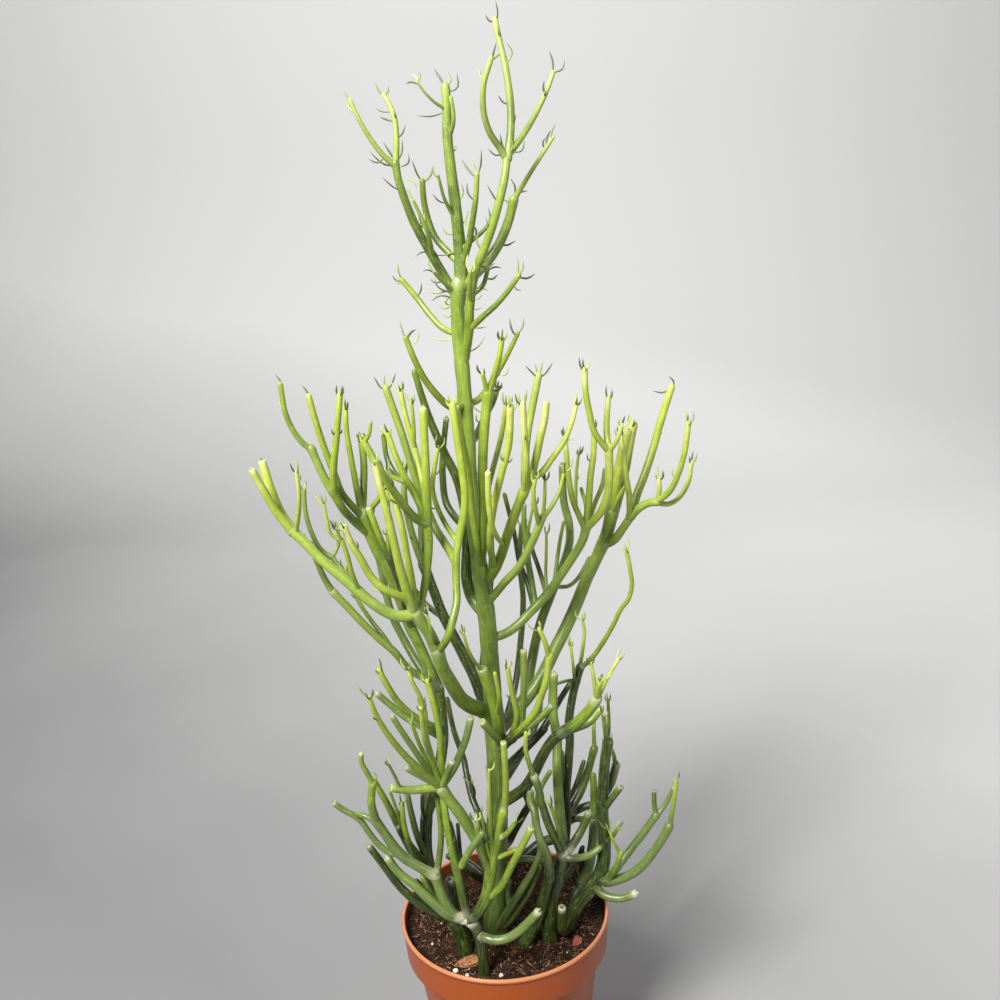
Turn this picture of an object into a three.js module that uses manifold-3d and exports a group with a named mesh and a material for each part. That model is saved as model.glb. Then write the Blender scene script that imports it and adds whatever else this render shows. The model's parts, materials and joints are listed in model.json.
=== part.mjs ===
// A potted pencil euphorbia: seven rooted cuttings in a round thermoformed nursery pot.
// Millimetres, +Z up, the origin at the centre of the pot's underside, -Y towards the viewer.
import * as THREE from "three";
import { mergeVertices } from "three/addons/utils/BufferGeometryUtils.js";
import Module from "manifold-3d";

// Driving dimensions.
const POT_HEIGHT = 155;
const RIM_RADIUS = 85;
const BAND_HEIGHT = 30; // the deep lip round the top of the pot
const BAND_FOOT_RADIUS = 82.6;
const BODY_TOP_RADIUS = 75.5; // just under the lip
const BODY_FOOT_RADIUS = 61;
const WALL = 1.6;
const FLOOR = 2;
const DRAIN_HOLES = 8;
const DRAIN_RADIUS = 5;
const DRAIN_CIRCLE = 44;
const SOIL_DROP = 10; // from the rim down to the potting soil
const FIT = 0.3; // the gap between pieces that rest on each other
const ROOT_DEPTH = 26; // how far a cutting stands in the soil
const LEAF_LENGTH = 10;
const LEAF_HALF_WIDTH = 0.75;

// The stems are placed on an elevation: an upright plane through the pot's axis, seen from EYE.
// A point is written as across,height,depth, where across and height are read on that plane from
// the centre of the rim and depth is how far behind (+) or before (-) the plane the point lies
// along the line of sight.
const EYE = new THREE.Vector3(17.4, -759, 574);
const DEPTH_SPREAD = 0.6; // the share by which the crown is deeper than the depths as written

// One row is one stem: name, the stem it grows from, its radius at both ends, how it ends, and
// its points. The first point has no depth where the stem grows from another one. A stem ends in a
// tuft of small leaves, bare, cut square, or in a joint that further stems grow from.
const TALL = `
trunk - 10 6.4 joint -10,-30,-23 -8,0,-20 -4,50,-14 0,100,-8 2,150,-3 2,210,0 2,250,0 1,270,0
trunkTop trunk 6 4.8 joint 1,262 -1,300,0 -3,335,3 -3,400,5 -3,440,5 -4,475,6 -3,495,6 -1,509,6
leader trunkTop 4.6 2.2 tuft 0,504 1,525,7 0,560,8 -2,600,9 -1,622,9 -1,633,9
crownRight trunkTop 3.4 2.7 joint -2,450 3,472,-1 5,490,-3 9,509,-4 15,523,-7 22,538,-9 28,554,-10
  34,573,-10 37,590,-8
crownRightA crownRight 2.4 1.5 tuft 36,587 32,594,-10 26,604,-14 23,617,-18 24,633,-21 30,649,-23
crownRightB crownRight 2.7 1.4 tuft 37,586 40,603,-6 41,620,-4 39,643,-2 36,660,0 34,672,1
crownRightC crownRight 2.3 1.2 tuft 37,588 46,598,-5 55,610,-1 64,625,3 70,638,5
crownBack trunkTop 3.9 3 joint 2,506 10,512,8 20,521,12 29,533,13 36,548,13 40,561,11
crownBackA crownBack 1.9 1.2 tuft 40,560 50,574,7 59,586,4 68,598,2
crownLeft trunkTop 4.3 2.6 joint -2,503 -12,517,-3 -21,531,-8 -29,547,-12 -34,562,-14 -37,578,-15
  -38,589,-15
crownLeftA crownLeft 2 1.1 tuft -38,586 -46,594,-17 -54,606,-19 -60,618,-21 -64,629,-22
crownLeftB crownLeft 2.4 1.2 tuft -38,586 -36,603,-14 -36,616,-12 -39,626,-10 -42,631,-9
innerLeft leader 2.6 2 tuft 0,520 -8,529,10 -15,538,13 -19,550,15 -21,563,15 -21,575,14
innerLeftLow crownLeft 1.9 1.1 tuft -18,526 -20,541,-12 -24,553,-15 -28,563,-17
innerRight leader 2.5 1.7 tuft 1,518 7,532,3 11,548,0 14,562,-2 16,577,-3
innerRightLow leader 1.8 1.3 tuft 1,528 10,535,3 17,540,1 23,546,0
innerShoot leader 1.5 0.9 tuft 0,548 -7,563,2 -10,578,-1
whorlLeft trunkTop 1.8 1 tuft -3,500 -13,509,0 -18,515,-4
whorlRight trunkTop 2.4 1.4 tuft -1,495 8,499,10 15,504,14 19,514,17
whorlFront crownRight 2.4 1.6 tuft 6,494 6,503,-9 7,513,-12
armLeft trunkTop 2.4 1.9 tuft -4,472 -14,476,10 -22,485,14 -30,497,18 -40,511,20
armRight crownRight 2.3 1.8 tuft 3,474 14,483,-6 23,490,-9 32,499,-11 40,509,-12
lowArmLeft trunkTop 2.9 2 tuft -3,421 -14,421,-4 -22,429,-9 -30,441,-13 -36,455,-16 -41,471,-18
midRight trunkTop 3.2 3.8 joint 0,298 3,318,-8 5,340,-11 6,370,-13 9,400,-14 14,431,-14
midRightA midRight 2.2 1.5 tuft 14,428 12,436,-17 11,442,-19
midRightB midRight 2.6 1.9 tuft 14,428 19,441,-17 23,453,-20 26,466,-22
midRightC trunkTop 2.6 1.6 tuft -2,422 6,424,9 12,430,11 20,441,9 29,455,6 37,469,4
midDark trunkTop 3.4 1.6 tuft -3,392 5,401,12 10,411,17 17,422,20 21,432,21
midThin midRight 2.4 1.8 tuft 5,346 12,368,-4 17,383,0 21,396,2 26,419,3
forkLeft trunk 4.8 2.3 bare 0,262 -8,274,4 -11,289,6 -10,305,8 -8,325,10 -9,346,12 -13,368,14
  -20,386,15 -26,403,15 -31,420,15 -37,447,15
forkBack forkLeft 3 2 cut -9,330 -16,338,18 -22,350,23 -23,370,25 -21,390,25 -17,413,24
pencilFront trunkTop 2.6 3.1 cut 0,296 -1,312,-8 -3,335,-13 -4,350,-16 -5,375,-18 -8,400,-19
  -10,421,-19
limbRight trunkTop 4 3.6 joint 0,286 8,294,-6 15,306,-12 22,324,-18 30,343,-24 37,358,-28 41,366,-28
limbRightA limbRight 3.2 2.4 cut 40,362 45,378,-31 49,393,-34 53,407,-36 55,420,-37
limbRightB limbRight 2.6 1.6 tuft 40,363 49,368,-27 57,378,-28 66,390,-29 72,403,-28 76,416,-27
limbRightC limbRight 3 2.7 tuft 36,354 37,375,-18 40,397,-14 44,414,-12 50,438,-12
limbRightD limbRight 2.6 2.4 tuft 35,352 38,372,-34 38,395,-38 38,418,-40
pencilRight limbRight 2.6 2.8 tuft 10,298 8,315,-18 10,333,-24 14,350,-28 20,370,-32 26,390,-35
  29,417,-38
pencilLow limbRight 1.7 2.3 cut 18,314 13,322,-27 10,332,-32 9,350,-35 10,371,-37
limbMid trunk 3.3 2.9 joint 1,268 10,279,-9 18,287,-15 28,296,-20 36,309,-24 43,323,-27 48,335,-28
limbMidA limbMid 1.9 1.3 tuft 47,332 55,342,-27 61,353,-25 65,367,-24
limbMidB limbMid 2 1.5 tuft 45,327 43,340,-32 42,352,-35 44,364,-37
limbMidC limbMid 1.6 1.1 tuft 48,333 50,348,-26 51,362,-25
limbLow trunk 3.5 3.3 joint 2,240 16,244,2 26,251,4 37,262,6 48,273,7 58,286,7 67,299,7 76,313,6
  80,325,6
lowA limbLow 2.4 1.8 tuft 79,322 74,335,4 70,348,2 68,368,0 67,393,-1
lowB limbLow 1.5 1.1 tuft 78,322 73,338,11 73,352,13 74,366,14 76,379,14
lowC limbLow 2.8 2 tuft 79,323 82,342,9 84,362,12 87,380,14 88,399,15
lowD limbLow 2 1.7 cut 80,325 87,343,16 93,357,22 95,368,25
lowE limbLow 3.5 4 joint 79,323 90,334,3 96,348,1 98,365,0 98,384,0
lowEA lowE 2.4 2.2 tuft 98,381 94,386,-2 88,396,-4 85,411,-6 83,425,-8 83,440,-9
lowEB lowE 2.5 2 tuft 98,380 97,398,5 99,419,8
lowEC lowE 1.9 1.5 tuft 98,380 104,388,-4 108,399,-6
lowF limbLow 1.8 1.3 bare 79,322 80,340,14 77,354,18
risingA limbLow 2.3 1.6 bare 38,263 34,283,14 29,300,18 27,318,20 24,336,20 21,353,19
risingB limbLow 2.4 2.6 joint 39,264 37,285,12 35,303,8 35,320,6
risingBA risingB 2.3 1.7 cut 35,317 34,332,4 35,345,3
risingBB risingB 1.4 1 tuft 35,318 38,330,2 41,342,0
risingC limbLow 1.9 1.6 bare 48,272 43,294,17 39,309,21 37,322,22
risingD limbLow 1.3 1 tuft 48,273 48,290,12 49,304,13 50,321,14
risingE limbLow 1.7 1.3 bare 54,281 57,300,15 60,316,17 63,329,18
limbBig trunk 5.2 5 joint 1,158 14,172,6 24,184,11 34,196,14 43,210,17 51,226,20 60,243,23 70,264,26
  79,285,28 88,303,28 95,319,26 99,335,24
forkDark limbBig 4.2 2.6 cut 27,188 30,203,22 34,220,28 38,237,31 43,253,31 50,270,30 57,286,28
  63,300,26 67,315,25 67,328,25 64,345,26 64,373,24
forkThin forkDark 1.7 1.5 bare 54,279 65,279,36 73,286,41 81,300,45
bigOuter limbBig 3.6 3.2 joint 91,309 100,313,22 107,322,19 114,332,17
outerA bigOuter 3.3 2.6 tuft 113,330 117,345,20 123,360,24 130,380,28 136,400,30 144,424,31
outerB bigOuter 3.3 2.8 joint 112,330 120,337,12 127,340,9 133,340,6
outerBA outerB 1.8 1.6 tuft 132,340 134,348,5 134,357,5
outerBB outerB 2.4 2 tuft 131,340 141,347,2 148,360,-1 153,377,-3 156,397,-4
outerBC outerB 2.1 1.7 tuft 131,340 141,338,8 149,343,9 155,353,10 158,368,10
outerC bigOuter 2.6 1.6 tuft 112,329 112,345,10 110,362,6 109,378,4 107,390,3
bigA limbBig 3.5 2.8 cut 99,331 101,350,24 105,366,24 108,383,24
bigB limbBig 3.4 2.6 tuft 99,331 105,350,32 110,370,36 113,385,38 116,398,38
bigC limbBig 2 1.4 tuft 99,333 104,345,18 108,352,16
limbBase trunk 4.6 4.2 joint 0,96 14,104,-13 22,110,-18 29,120,-22 37,136,-27 45,149,-31 53,157,-33
baseA limbBase 4.6 4 joint 51,155 61,161,-34 70,168,-35 77,176,-36 83,185,-37
baseAA baseA 2.6 2 tuft 82,183 84,193,-40 87,200,-42
baseAB baseA 1.9 1.2 tuft 82,183 81,198,-36 79,214,-35
baseAC baseA 2 1.3 tuft 82,182 91,201,-33 100,216,-30
baseB limbBase 3.6 3 bare 51,155 64,160,-26 75,164,-22 85,175,-20
limbBack trunk 3.9 3 joint 2,124 14,134,4 24,144,8 33,153,10 41,162,11
limbBackA limbBack 2.8 2.2 bare 39,160 46,172,14 53,184,17 62,198,19
burst trunk 4.5 4 joint 2,146 9,151,-10 16,156,-17
burstA burst 2.8 2.6 joint 15,155 20,160,-22 27,167,-26 34,176,-28 39,188,-29 44,203,-30 48,225,-31
burstAA burstA 2.2 1.7 tuft 47,221 45,233,-33 41,245,-34
burstB burst 3 2.7 cut 15,155 27,162,-14 37,170,-13 48,181,-12
burstC burst 3 1.8 tuft 14,155 20,172,-20 18,190,-22 16,204,-24 15,215,-25
burstD burst 2.9 2.6 cut 15,155 22,165,-8 25,182,-7 27,205,-7 28,229,-8
burstE burst 3.4 3.2 cut 8,150 1,159,-20 -8,171,-26
burstF burst 4.4 4.4 cut 6,150 5,168,-14 3,182,-16 0,198,-18 -5,216,-20
burstFA burstF 1.7 1.1 tuft -4,214 -10,222,-24 -14,232,-26 -17,246,-28
burstFB burstF 2.2 1.6 bare 4,175 7,190,-24 5,211,-27
limbLeft trunk 6.4 5 joint 2,168 -6,180,-8 -14,184,-14 -22,191,-20 -29,205,-27 -35,220,-33 -38,236,-37
leftUpper limbLeft 4.5 4.8 joint -38,233 -42,246,-39 -47,256,-41 -53,266,-43
leftThin limbLeft 1.3 1 tuft -38,234 -41,250,-46 -43,263,-47
sweepLeft limbLeft 3 2.8 tuft -37,232 -29,243,-44 -24,257,-42 -20,272,-38 -19,290,-34 -18,306,-32
  -14,324,-30 -10,340,-29 -8,355,-28 -9,378,-27 -12,422,-26
spread leftUpper 5 3.6 joint -52,264 -64,263,-45 -73,267,-46 -84,276,-47 -96,289,-47 -108,302,-46
  -119,314,-45 -128,326,-44 -137,337,-43
spreadA spread 3.3 2.6 cut -136,335 -146,351,-44 -153,367,-46 -160,384,-48
spreadB spread 3.9 3.2 cut -136,335 -143,350,-39 -148,367,-36 -152,390,-34
spreadC spread 1.9 1.6 tuft -134,334 -130,350,-48 -128,364,-51 -128,380,-53
spreadD spread 2 1.7 joint -92,285 -96,300,-52 -98,314,-55 -101,327,-57
spreadDA spreadD 1.5 1 tuft -101,326 -108,331,-58 -110,343,-59 -111,355,-60
spreadDB spreadD 1.4 1 tuft -101,325 -104,335,-61
spreadE spread 2.3 1.9 joint -93,286 -99,296,-38 -105,306,-34 -110,315,-32
spreadEA spreadE 2.1 1.5 tuft -109,313 -117,320,-31 -123,336,-31 -125,352,-31 -124,367,-31
spreadEB spreadE 1.6 1.2 tuft -109,314 -104,322,-30 -103,333,-30
pencilA leftUpper 3.2 2.6 tuft -52,265 -58,277,-46 -66,281,-49 -74,286,-51 -82,296,-52 -88,310,-54
  -94,323,-56 -98,335,-57
pencilB leftUpper 3.9 2.4 tuft -53,266 -57,285,-47 -60,302,-50 -63,325,-53 -66,348,-55 -69,366,-56
  -71,382,-56
pencilC leftUpper 2.9 2.4 tuft -52,265 -52,288,-40 -54,312,-40 -56,335,-40 -59,352,-39 -64,376,-38
inner leftUpper 3 3.3 joint -50,261 -46,275,-35 -42,290,-33 -39,306,-32 -37,322,-32 -37,338,-32
innerA inner 3.4 2.6 tuft -37,334 -46,340,-36 -53,350,-42 -60,362,-46 -67,376,-48 -73,389,-49
  -78,401,-50
innerAA innerA 1.7 1.2 cut -77,399 -73,405,-52 -71,414,-53
innerB inner 3.6 2.7 cut -37,335 -36,352,-33 -35,372,-35 -34,395,-36 -33,421,-37
innerC inner 2.9 2.1 tuft -37,335 -44,357,-28 -50,370,-26 -55,385,-24 -60,404,-22
innerD innerB 2.5 2 tuft -36,352 -39,375,-24 -42,395,-20 -46,416,-18 -48,434,-18
innerE innerD 1.7 1.4 tuft -42,392 -41,408,-24 -41,425,-25
innerF innerC 1.8 1.5 tuft -49,367 -58,371,-26 -66,378,-28
innerG innerC 2.3 1.8 tuft -49,367 -57,374,-16 -62,386,-12 -63,402,-10
cross sweepLeft 3.2 2.7 tuft -18,303 -25,318,-22 -31,330,-16 -36,345,-10 -41,362,-6 -46,385,-4
  -50,404,-4 -58,436,-4
crossFront sweepLeft 2.1 1.6 tuft -15,318 -23,332,-22 -29,348,-18 -31,362,-16 -28,378,-16 -25,391,-16
lean trunk 3.2 2 bare -9,-26 0,-15,-31 8,-2,-36 16,16,-38 25,36,-37 33,54,-33 38,75,-27 40,98,-26
  40,121,-30
twig trunk 2.8 2.2 bare -2,58 11,74,8 19,88,12 24,100,14
`;

const FRONT = `
front - 5.2 4.6 joint -21,-66,-65 -21,-45,-64 -22,-30,-63 -25,-17,-62 -31,-8,-61
frontCut front 4 3.5 cut -22,-29 -10,-32,-67 0,-30,-69 10,-24,-71 20,-14,-72 28,-5,-73
frontLeft front 4.7 4.4 joint -30,-9 -41,-5,-60 -48,7,-59 -52,22,-58 -55,37,-57
frontUp frontLeft 2.8 1.5 tuft -54,34 -50,52,-55 -47,72,-52 -47,95,-48 -49,118,-42 -53,140,-38
  -58,156,-37 -62,173,-37
frontSide frontLeft 4.3 3.6 joint -54,34 -67,44,-59 -78,53,-60 -86,65,-61 -93,79,-61 -99,91,-61
frontSideA frontSide 3.4 3.1 joint -98,89 -100,104,-63 -99,114,-63 -97,124,-63
frontSideAA frontSideA 2.3 2 cut -97,122 -101,133,-64 -104,141,-64 -104,150,-64
frontSideB frontSide 2.4 2.2 bare -98,88 -106,94,-58 -112,96,-55
frontLong front 4.3 2.9 joint -31,-9 -48,-3,-62 -60,8,-62 -72,24,-60 -83,38,-58 -91,50,-56 -98,64,-54
  -106,79,-53 -113,92,-52
frontLongA frontLong 2.9 2.7 cut -112,90 -120,100,-52 -130,109,-52
frontMid front 3.3 2.5 tuft -31,-8 -34,12,-67 -37,38,-67 -40,62,-64 -42,88,-57 -43,112,-46 -42,135,-38
  -41,160,-35 -43,183,-34 -47,207,-34
frontMain front 5 4.2 joint -30,-9 -21,-1,-63 -15,10,-63 -11,28,-62 -7,48,-61 -2,68,-60 4,91,-59
frontMainA frontMain 2.8 2.5 cut 4,89 7,107,-59 8,130,-59 8,152,-59
frontMainB frontMain 2.7 1.2 tuft -7,48 -8,72,-64 -7,92,-65 -6,110,-65 -5,128,-65
frontMainC frontMain 2 1.5 tuft -8,42 -12,60,-66 -13,74,-68 -14,89,-69
frontMainD frontMain 3 2.4 tuft -9,34 -15,50,-68 -17,66,-71 -18,83,-72
frontMainE frontMain 2.6 1.7 tuft -1,66 6,70,-66 13,79,-69
frontMainF frontMain 3 2.9 cut -6,46 6,52,-66 15,61,-68 25,75,-70
hub frontMain 4.5 4.7 joint -9,36 -15,55,-54 -23,75,-52 -30,90,-52 -38,104,-51 -45,117,-50
hubArm hub 3.6 3.2 cut -44,116 -58,115,-53 -70,115,-56 -84,118,-60
hubArmA hubArm 1.6 1.1 tuft -76,116 -79,127,-60 -83,138,-62
hubA hub 2.8 2.6 cut -44,116 -58,126,-50 -70,135,-50
hubB hub 3.3 2 tuft -44,116 -58,131,-58 -70,146,-62 -81,164,-65 -89,182,-67 -93,197,-68
hubC hub 2.7 2.3 cut -44,116 -56,138,-50 -65,156,-48 -72,170,-47 -77,181,-46
hubD hub 2.6 1.6 tuft -44,117 -49,143,-55 -52,164,-58 -51,180,-59 -54,196,-60 -59,209,-61 -61,219,-61
hubE hub 3 2.6 cut -44,116 -38,127,-54 -33,138,-56
hubF hub 3.2 2.8 cut -44,116 -34,129,-46 -26,145,-44 -20,160,-43 -16,175,-42
hubG hubD 2.3 2 tuft -48,139 -53,158,-64 -54,185,-67
`;

const LEFT = `
left - 6.4 5.6 joint -35,-41,-38 -37,-28,-38 -41,-14,-38 -45,-4,-37
leftDark left 4 2.9 cut -43,-8 -56,-1,-44 -70,10,-47 -83,25,-47 -92,41,-46 -100,56,-45 -106,67,-45
leftTall left 5.6 3.8 joint -44,-7 -52,12,-31 -58,32,-27 -60,55,-23 -58,85,-18 -53,110,-12 -45,130,-5
  -40,150,2 -38,175,7 -39,204,11
leftTallA leftTall 3 2.4 bare -59,48 -66,72,-29 -69,92,-31 -71,111,-32
leftTallB leftTall 3.8 2.4 tuft -59,44 -71,60,-36 -80,82,-40 -88,105,-42 -96,125,-43
leftTallC leftTallB 2.6 2 tuft -69,56 -74,70,-47 -76,86,-49 -76,102,-50
leftTallD leftTallB 1.6 1.2 bare -77,74 -80,95,-48 -84,114,-50
leftTallE leftTall 2.2 1.9 bare -57,86 -51,100,-10 -47,112,-6
leftLowA leftTall 3 2.4 tuft -38,165 -50,172,-4 -62,181,-9 -71,192,-13 -77,204,-16 -83,219,-18
leftLowB leftTall 2.7 2.6 cut -38,158 -55,170,5 -68,180,6 -78,191,6 -87,201,5
thinLeft leftTall 2.8 2.9 joint -39,201 -50,211,11 -61,220,8 -70,234,4 -80,245,2 -90,257,0 -101,272,-2
  -113,288,-4
thinLeftA thinLeft 2.6 1.8 tuft -112,286 -117,298,-6 -121,311,-8 -124,325,-10
thinLeftB thinLeft 2.1 1.3 tuft -70,233 -77,247,8 -84,259,12 -91,272,15 -97,287,17 -100,303,18
farLeft leftTall 4.2 4.4 joint -39,200 -45,220,14 -51,239,18 -57,256,20 -62,277,20 -68,297,19
  -75,315,18 -80,331,17 -84,346,16
farBack leftTall 3.3 2.5 tuft -39,199 -48,213,20 -55,227,26 -62,244,31 -68,260,33 -72,281,33
  -74,302,31 -76,322,30 -78,344,29
farRight farLeft 3 2.6 joint -56,253 -59,275,11 -62,292,9 -68,312,7
farRightA farRight 2.6 2.3 cut -67,309 -72,324,5 -76,339,4 -79,350,4
farRightB farRight 2.4 1.8 tuft -67,309 -66,330,4 -65,348,2 -64,364,1
farA farLeft 2.8 2.2 tuft -83,342 -90,351,12 -97,362,8 -101,377,5 -106,396,3 -110,415,1 -113,434,0
farB farLeft 2.6 1.8 tuft -84,343 -86,366,22 -88,390,25 -89,410,27 -88,424,28
farC farLeft 2.9 2.5 tuft -84,343 -81,364,27 -79,383,31 -79,400,33
farD farLeft 2.3 1.8 tuft -83,342 -76,350,13 -70,357,11 -66,368,10
farE farLeft 3.4 3 joint -80,329 -90,340,9 -98,351,4 -104,365,1
farEA farE 3 2.2 tuft -103,362 -101,382,-3 -97,402,-5 -94,418,-7 -91,434,-8
farEB farE 3 2.9 joint -103,362 -108,373,2 -112,385,3 -116,398,4
farEBA farEB 2.2 1.8 tuft -115,396 -121,401,3 -127,411,2 -131,424,1 -132,444,0
`;

const REAR = `
rear - 5.4 3.6 joint -4,15,34 -3,60,33 -1,120,30 -1,165,27 -6,190,25 -12,212,25 -18,228,27 -25,246,29
  -31,262,31 -37,284,33 -43,305,35
rearA rear 2.4 1.9 bare -31,260 -38,266,36 -45,274,40 -53,288,44
rearB rear 3 2 tuft -41,297 -46,315,32 -50,335,30 -52,355,30 -50,378,30
rearC rear 2.8 2 tuft -42,301 -42,325,42 -41,350,46 -43,376,48
rearD rear 2.9 1.9 tuft -8,196 -2,230,36 3,262,44 8,300,49 9,335,52 6,365,53
rearE rear 3 1.9 tuft -1,140 10,168,42 20,200,52 26,235,58 30,270,62 29,300,64 32,328,64
rearF rear 3 1.9 tuft -3,82 -14,110,44 -24,142,52 -30,178,57 -32,212,59 -29,240,60
rearG rear 2.8 1.8 tuft -2,104 13,126,46 25,146,54 36,170,60 41,200,62
`;

const RIGHT = `
right - 7 5.6 joint 38,-36,-31 38,-20,-31 40,0,-31 45,25,-30 51,48,-30
rightA right 3.8 3 joint 50,46 45,61,-37 40,75,-41 36,92,-44 33,110,-46 30,121,-47
rightAA rightA 2.1 1.7 tuft 30,119 27,132,-48 25,145,-49 26,158,-49
rightB right 2.3 1.6 tuft 50,47 48,68,-43 45,82,-46 42,93,-48
rightC right 4.3 3.4 cut 51,46 50,72,-19 49,100,-12 49,128,-5 50,150,2 48,175,6 49,195,8 50,208,8
rightD right 3.6 3.2 cut 51,46 61,60,-27 67,71,-23 73,85,-21
rightE right 3.9 3.1 joint 51,46 54,78,-8 55,105,-3 58,130,2 60,150,5 60,166,7 63,184,8 67,200,8
  71,213,8
rightEA rightE 2 1.6 tuft 70,210 80,219,4 90,233,0 97,245,-3 103,257,-6 109,265,-8 112,276,-10
  111,289,-12 109,302,-13
rightEB rightE 1.6 1.1 tuft 70,210 73,226,11 75,240,12 74,250,12
rightEC rightE 1.4 1.2 bare 67,201 60,201,2 52,199,-2
rightED rightE 1.4 1.1 tuft 66,200 65,216,2 64,230,1
rightF rightE 3.2 3 joint 54,82 61,93,0 67,104,4 73,121,8 79,142,10
rightFA rightF 1.8 1.2 tuft 79,140 79,156,11 80,173,12
rightG rightE 2.6 2.2 bare 55,95 61,105,4 65,115,8 70,130,12
`;

const EDGE = `
edge - 8 4 joint 53,-27,-20 58,-10,-20 66,8,-20 74,26,-21 80,44,-23 83,62,-25 83,85,-27 85,110,-29
  87,130,-31 90,147,-33
edgeA edge 2.2 1.8 tuft 89,144 88,157,-36 87,169,-40
edgeB edge 1.6 1.2 tuft 89,144 91,160,-30 91,182,-28
edgeC edge 4.2 3.9 cut 71,19 73,42,-11 75,62,-8 76,80,-8
edgeCA edgeC 3 2.8 bare 76,78 77,98,-8 77,117,-8
edgeD edge 3.6 3.3 cut 84,98 91,110,-24 96,127,-22
edgeDA edgeD 1.8 1.3 tuft 95,124 94,134,-21 91,144,-20
edgeE edge 3 2.7 cut 83,84 90,94,-33 99,106,-36
edgeF edge 4 3.5 joint 74,24 84,19,-28 97,21,-33 110,28,-37 122,42,-41 131,56,-44 137,68,-45
edgeFA edgeF 2 1.7 tuft 137,66 140,85,-46 143,106,-46
edgeG edgeF 3.3 3.1 joint 84,19 93,31,-24 103,45,-20 114,60,-17 127,79,-15
edgeGA edgeG 2 1.9 cut 126,77 125,88,-15 125,101,-15
edgeGB edgeG 2.1 1.8 cut 126,77 133,86,-13 141,103,-11
edgeH edgeF 3 2.2 bare 85,19 93,32,-38 97,45,-41
edgeHA edgeH 1.5 1.1 tuft 97,43 92,54,-42 88,67,-42
edgeI edge 2.6 2.2 bare 82,56 90,60,-31 95,68,-33
edgeJ edge 3.8 3.3 cut 72,20 79,9,-30 86,4,-35 96,2,-38 109,6,-41
edgeK edge 3.7 3.6 cut 54,-21 50,-15,-36 48,-8,-43 49,-1,-45
`;

const CENTRE = `
centre - 6.8 3.2 cut 13,-38,-34 16,-20,-32 20,0,-28 25,28,-22 28,55,-19 29,80,-15 27,101,-11
`;

const CUTTINGS = {
  tall_cutting: { table: TALL, seed: 11, colour: 0x8fa83c },
  front_cutting: { table: FRONT, seed: 23, colour: 0x93ad48 },
  left_cutting: { table: LEFT, seed: 37, colour: 0x7f9a3f },
  rear_cutting: { table: REAR, seed: 41, colour: 0x66803a },
  right_cutting: { table: RIGHT, seed: 53, colour: 0x6f8a3e },
  edge_cutting: { table: EDGE, seed: 61, colour: 0x6c8a3c },
  centre_cutting: { table: CENTRE, seed: 71, colour: 0x4f6b38 },
};

// Loose bits on the soil: x, y, radius and colour.
const PERLITE = [
  [-40, -59, 2.6],
  [-31, -64.5, 2.1],
  [-5, -67, 2.4],
  [6.5, -18.5, 2.2],
  [62, 12, 1.9],
  [-52, 30, 2.2],
];
const BARK = [
  { name: "bark_chip_orange", x: -34, y: -52.5, turn: -0.25, size: [15, 8, 4], colour: 0xa96f45 },
  { name: "bark_chip_red", x: 56, y: -36, turn: 1.25, size: [11, 7, 4.5], colour: 0x8d4a3e },
];

const wasm = await Module();
wasm.setup();

// A closed geometry as a solid that can be joined and cut.
function solidOf(geometry) {
  const bare = new THREE.BufferGeometry().setAttribute("position", geometry.getAttribute("position"));
  bare.setIndex(geometry.index);
  const merged = mergeVertices(bare, 1e-4);
  return new wasm.Manifold(
    new wasm.Mesh({
      numProp: 3,
      vertProperties: merged.attributes.position.array,
      triVerts: new Uint32Array(merged.index.array),
    }),
  );
}

// A solid as a named mesh, with its vertices on a fine grid so that no sliver is left.
function meshOf(name, solid, look) {
  const made = solid.getMesh();
  const positions = new Float32Array(made.numVert * 3);
  for (let i = 0; i < made.numVert; i++) {
    positions.set(made.vertProperties.subarray(i * made.numProp, i * made.numProp + 3), i * 3);
  }
  const geometry = new THREE.BufferGeometry();
  geometry.setAttribute("position", new THREE.BufferAttribute(positions, 3));
  geometry.setIndex(new THREE.BufferAttribute(new Uint32Array(made.triVerts), 1));
  const shaded = geometry.toNonIndexed();
  shaded.computeVertexNormals();
  const mesh = new THREE.Mesh(shaded, new THREE.MeshStandardMaterial(look));
  mesh.name = name;
  return mesh;
}

// A small seeded generator of numbers from 0 to 1.
function seeded(seed) {
  let state = seed >>> 0;
  return () => {
    state = (state + 0x6d2b79f5) >>> 0;
    let t = Math.imul(state ^ (state >>> 15), state | 1);
    t ^= t + Math.imul(t ^ (t >>> 7), t | 61);
    return ((t ^ (t >>> 14)) >>> 0) / 4294967296;
  };
}

// How far along the line of sight a point lies, with the elevation's plane at 1. The depths are
// spread more and more with height, so that the crown is round.
function reachOf(height, depth) {
  const spread = 1 + DEPTH_SPREAD * THREE.MathUtils.smoothstep(height, 40, 240);
  return (depth * spread - EYE.y) / -EYE.y;
}

// The point in the pot's own frame that is seen at (across, height) on the elevation.
function inSpace(across, height, depth) {
  const onPlane = new THREE.Vector3(across, 0, height);
  const seen = onPlane.sub(EYE).multiplyScalar(reachOf(height, depth)).add(EYE);
  return seen.add(new THREE.Vector3(0, 0, POT_HEIGHT));
}

// Reads a table into rows, in order, with each indented line joined to the row above it.
function readTable(table) {
  const rows = table.trim().replace(/\n\s+/g, " ").split("\n");
  return rows.map((row) => {
    const [name, parent, base, tip, end, ...points] = row.split(/\s+/);
    return {
      name,
      parent,
      base: Number(base),
      tip: Number(tip),
      end,
      points: points.map((point) => point.split(",").map(Number)),
    };
  });
}

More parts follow.
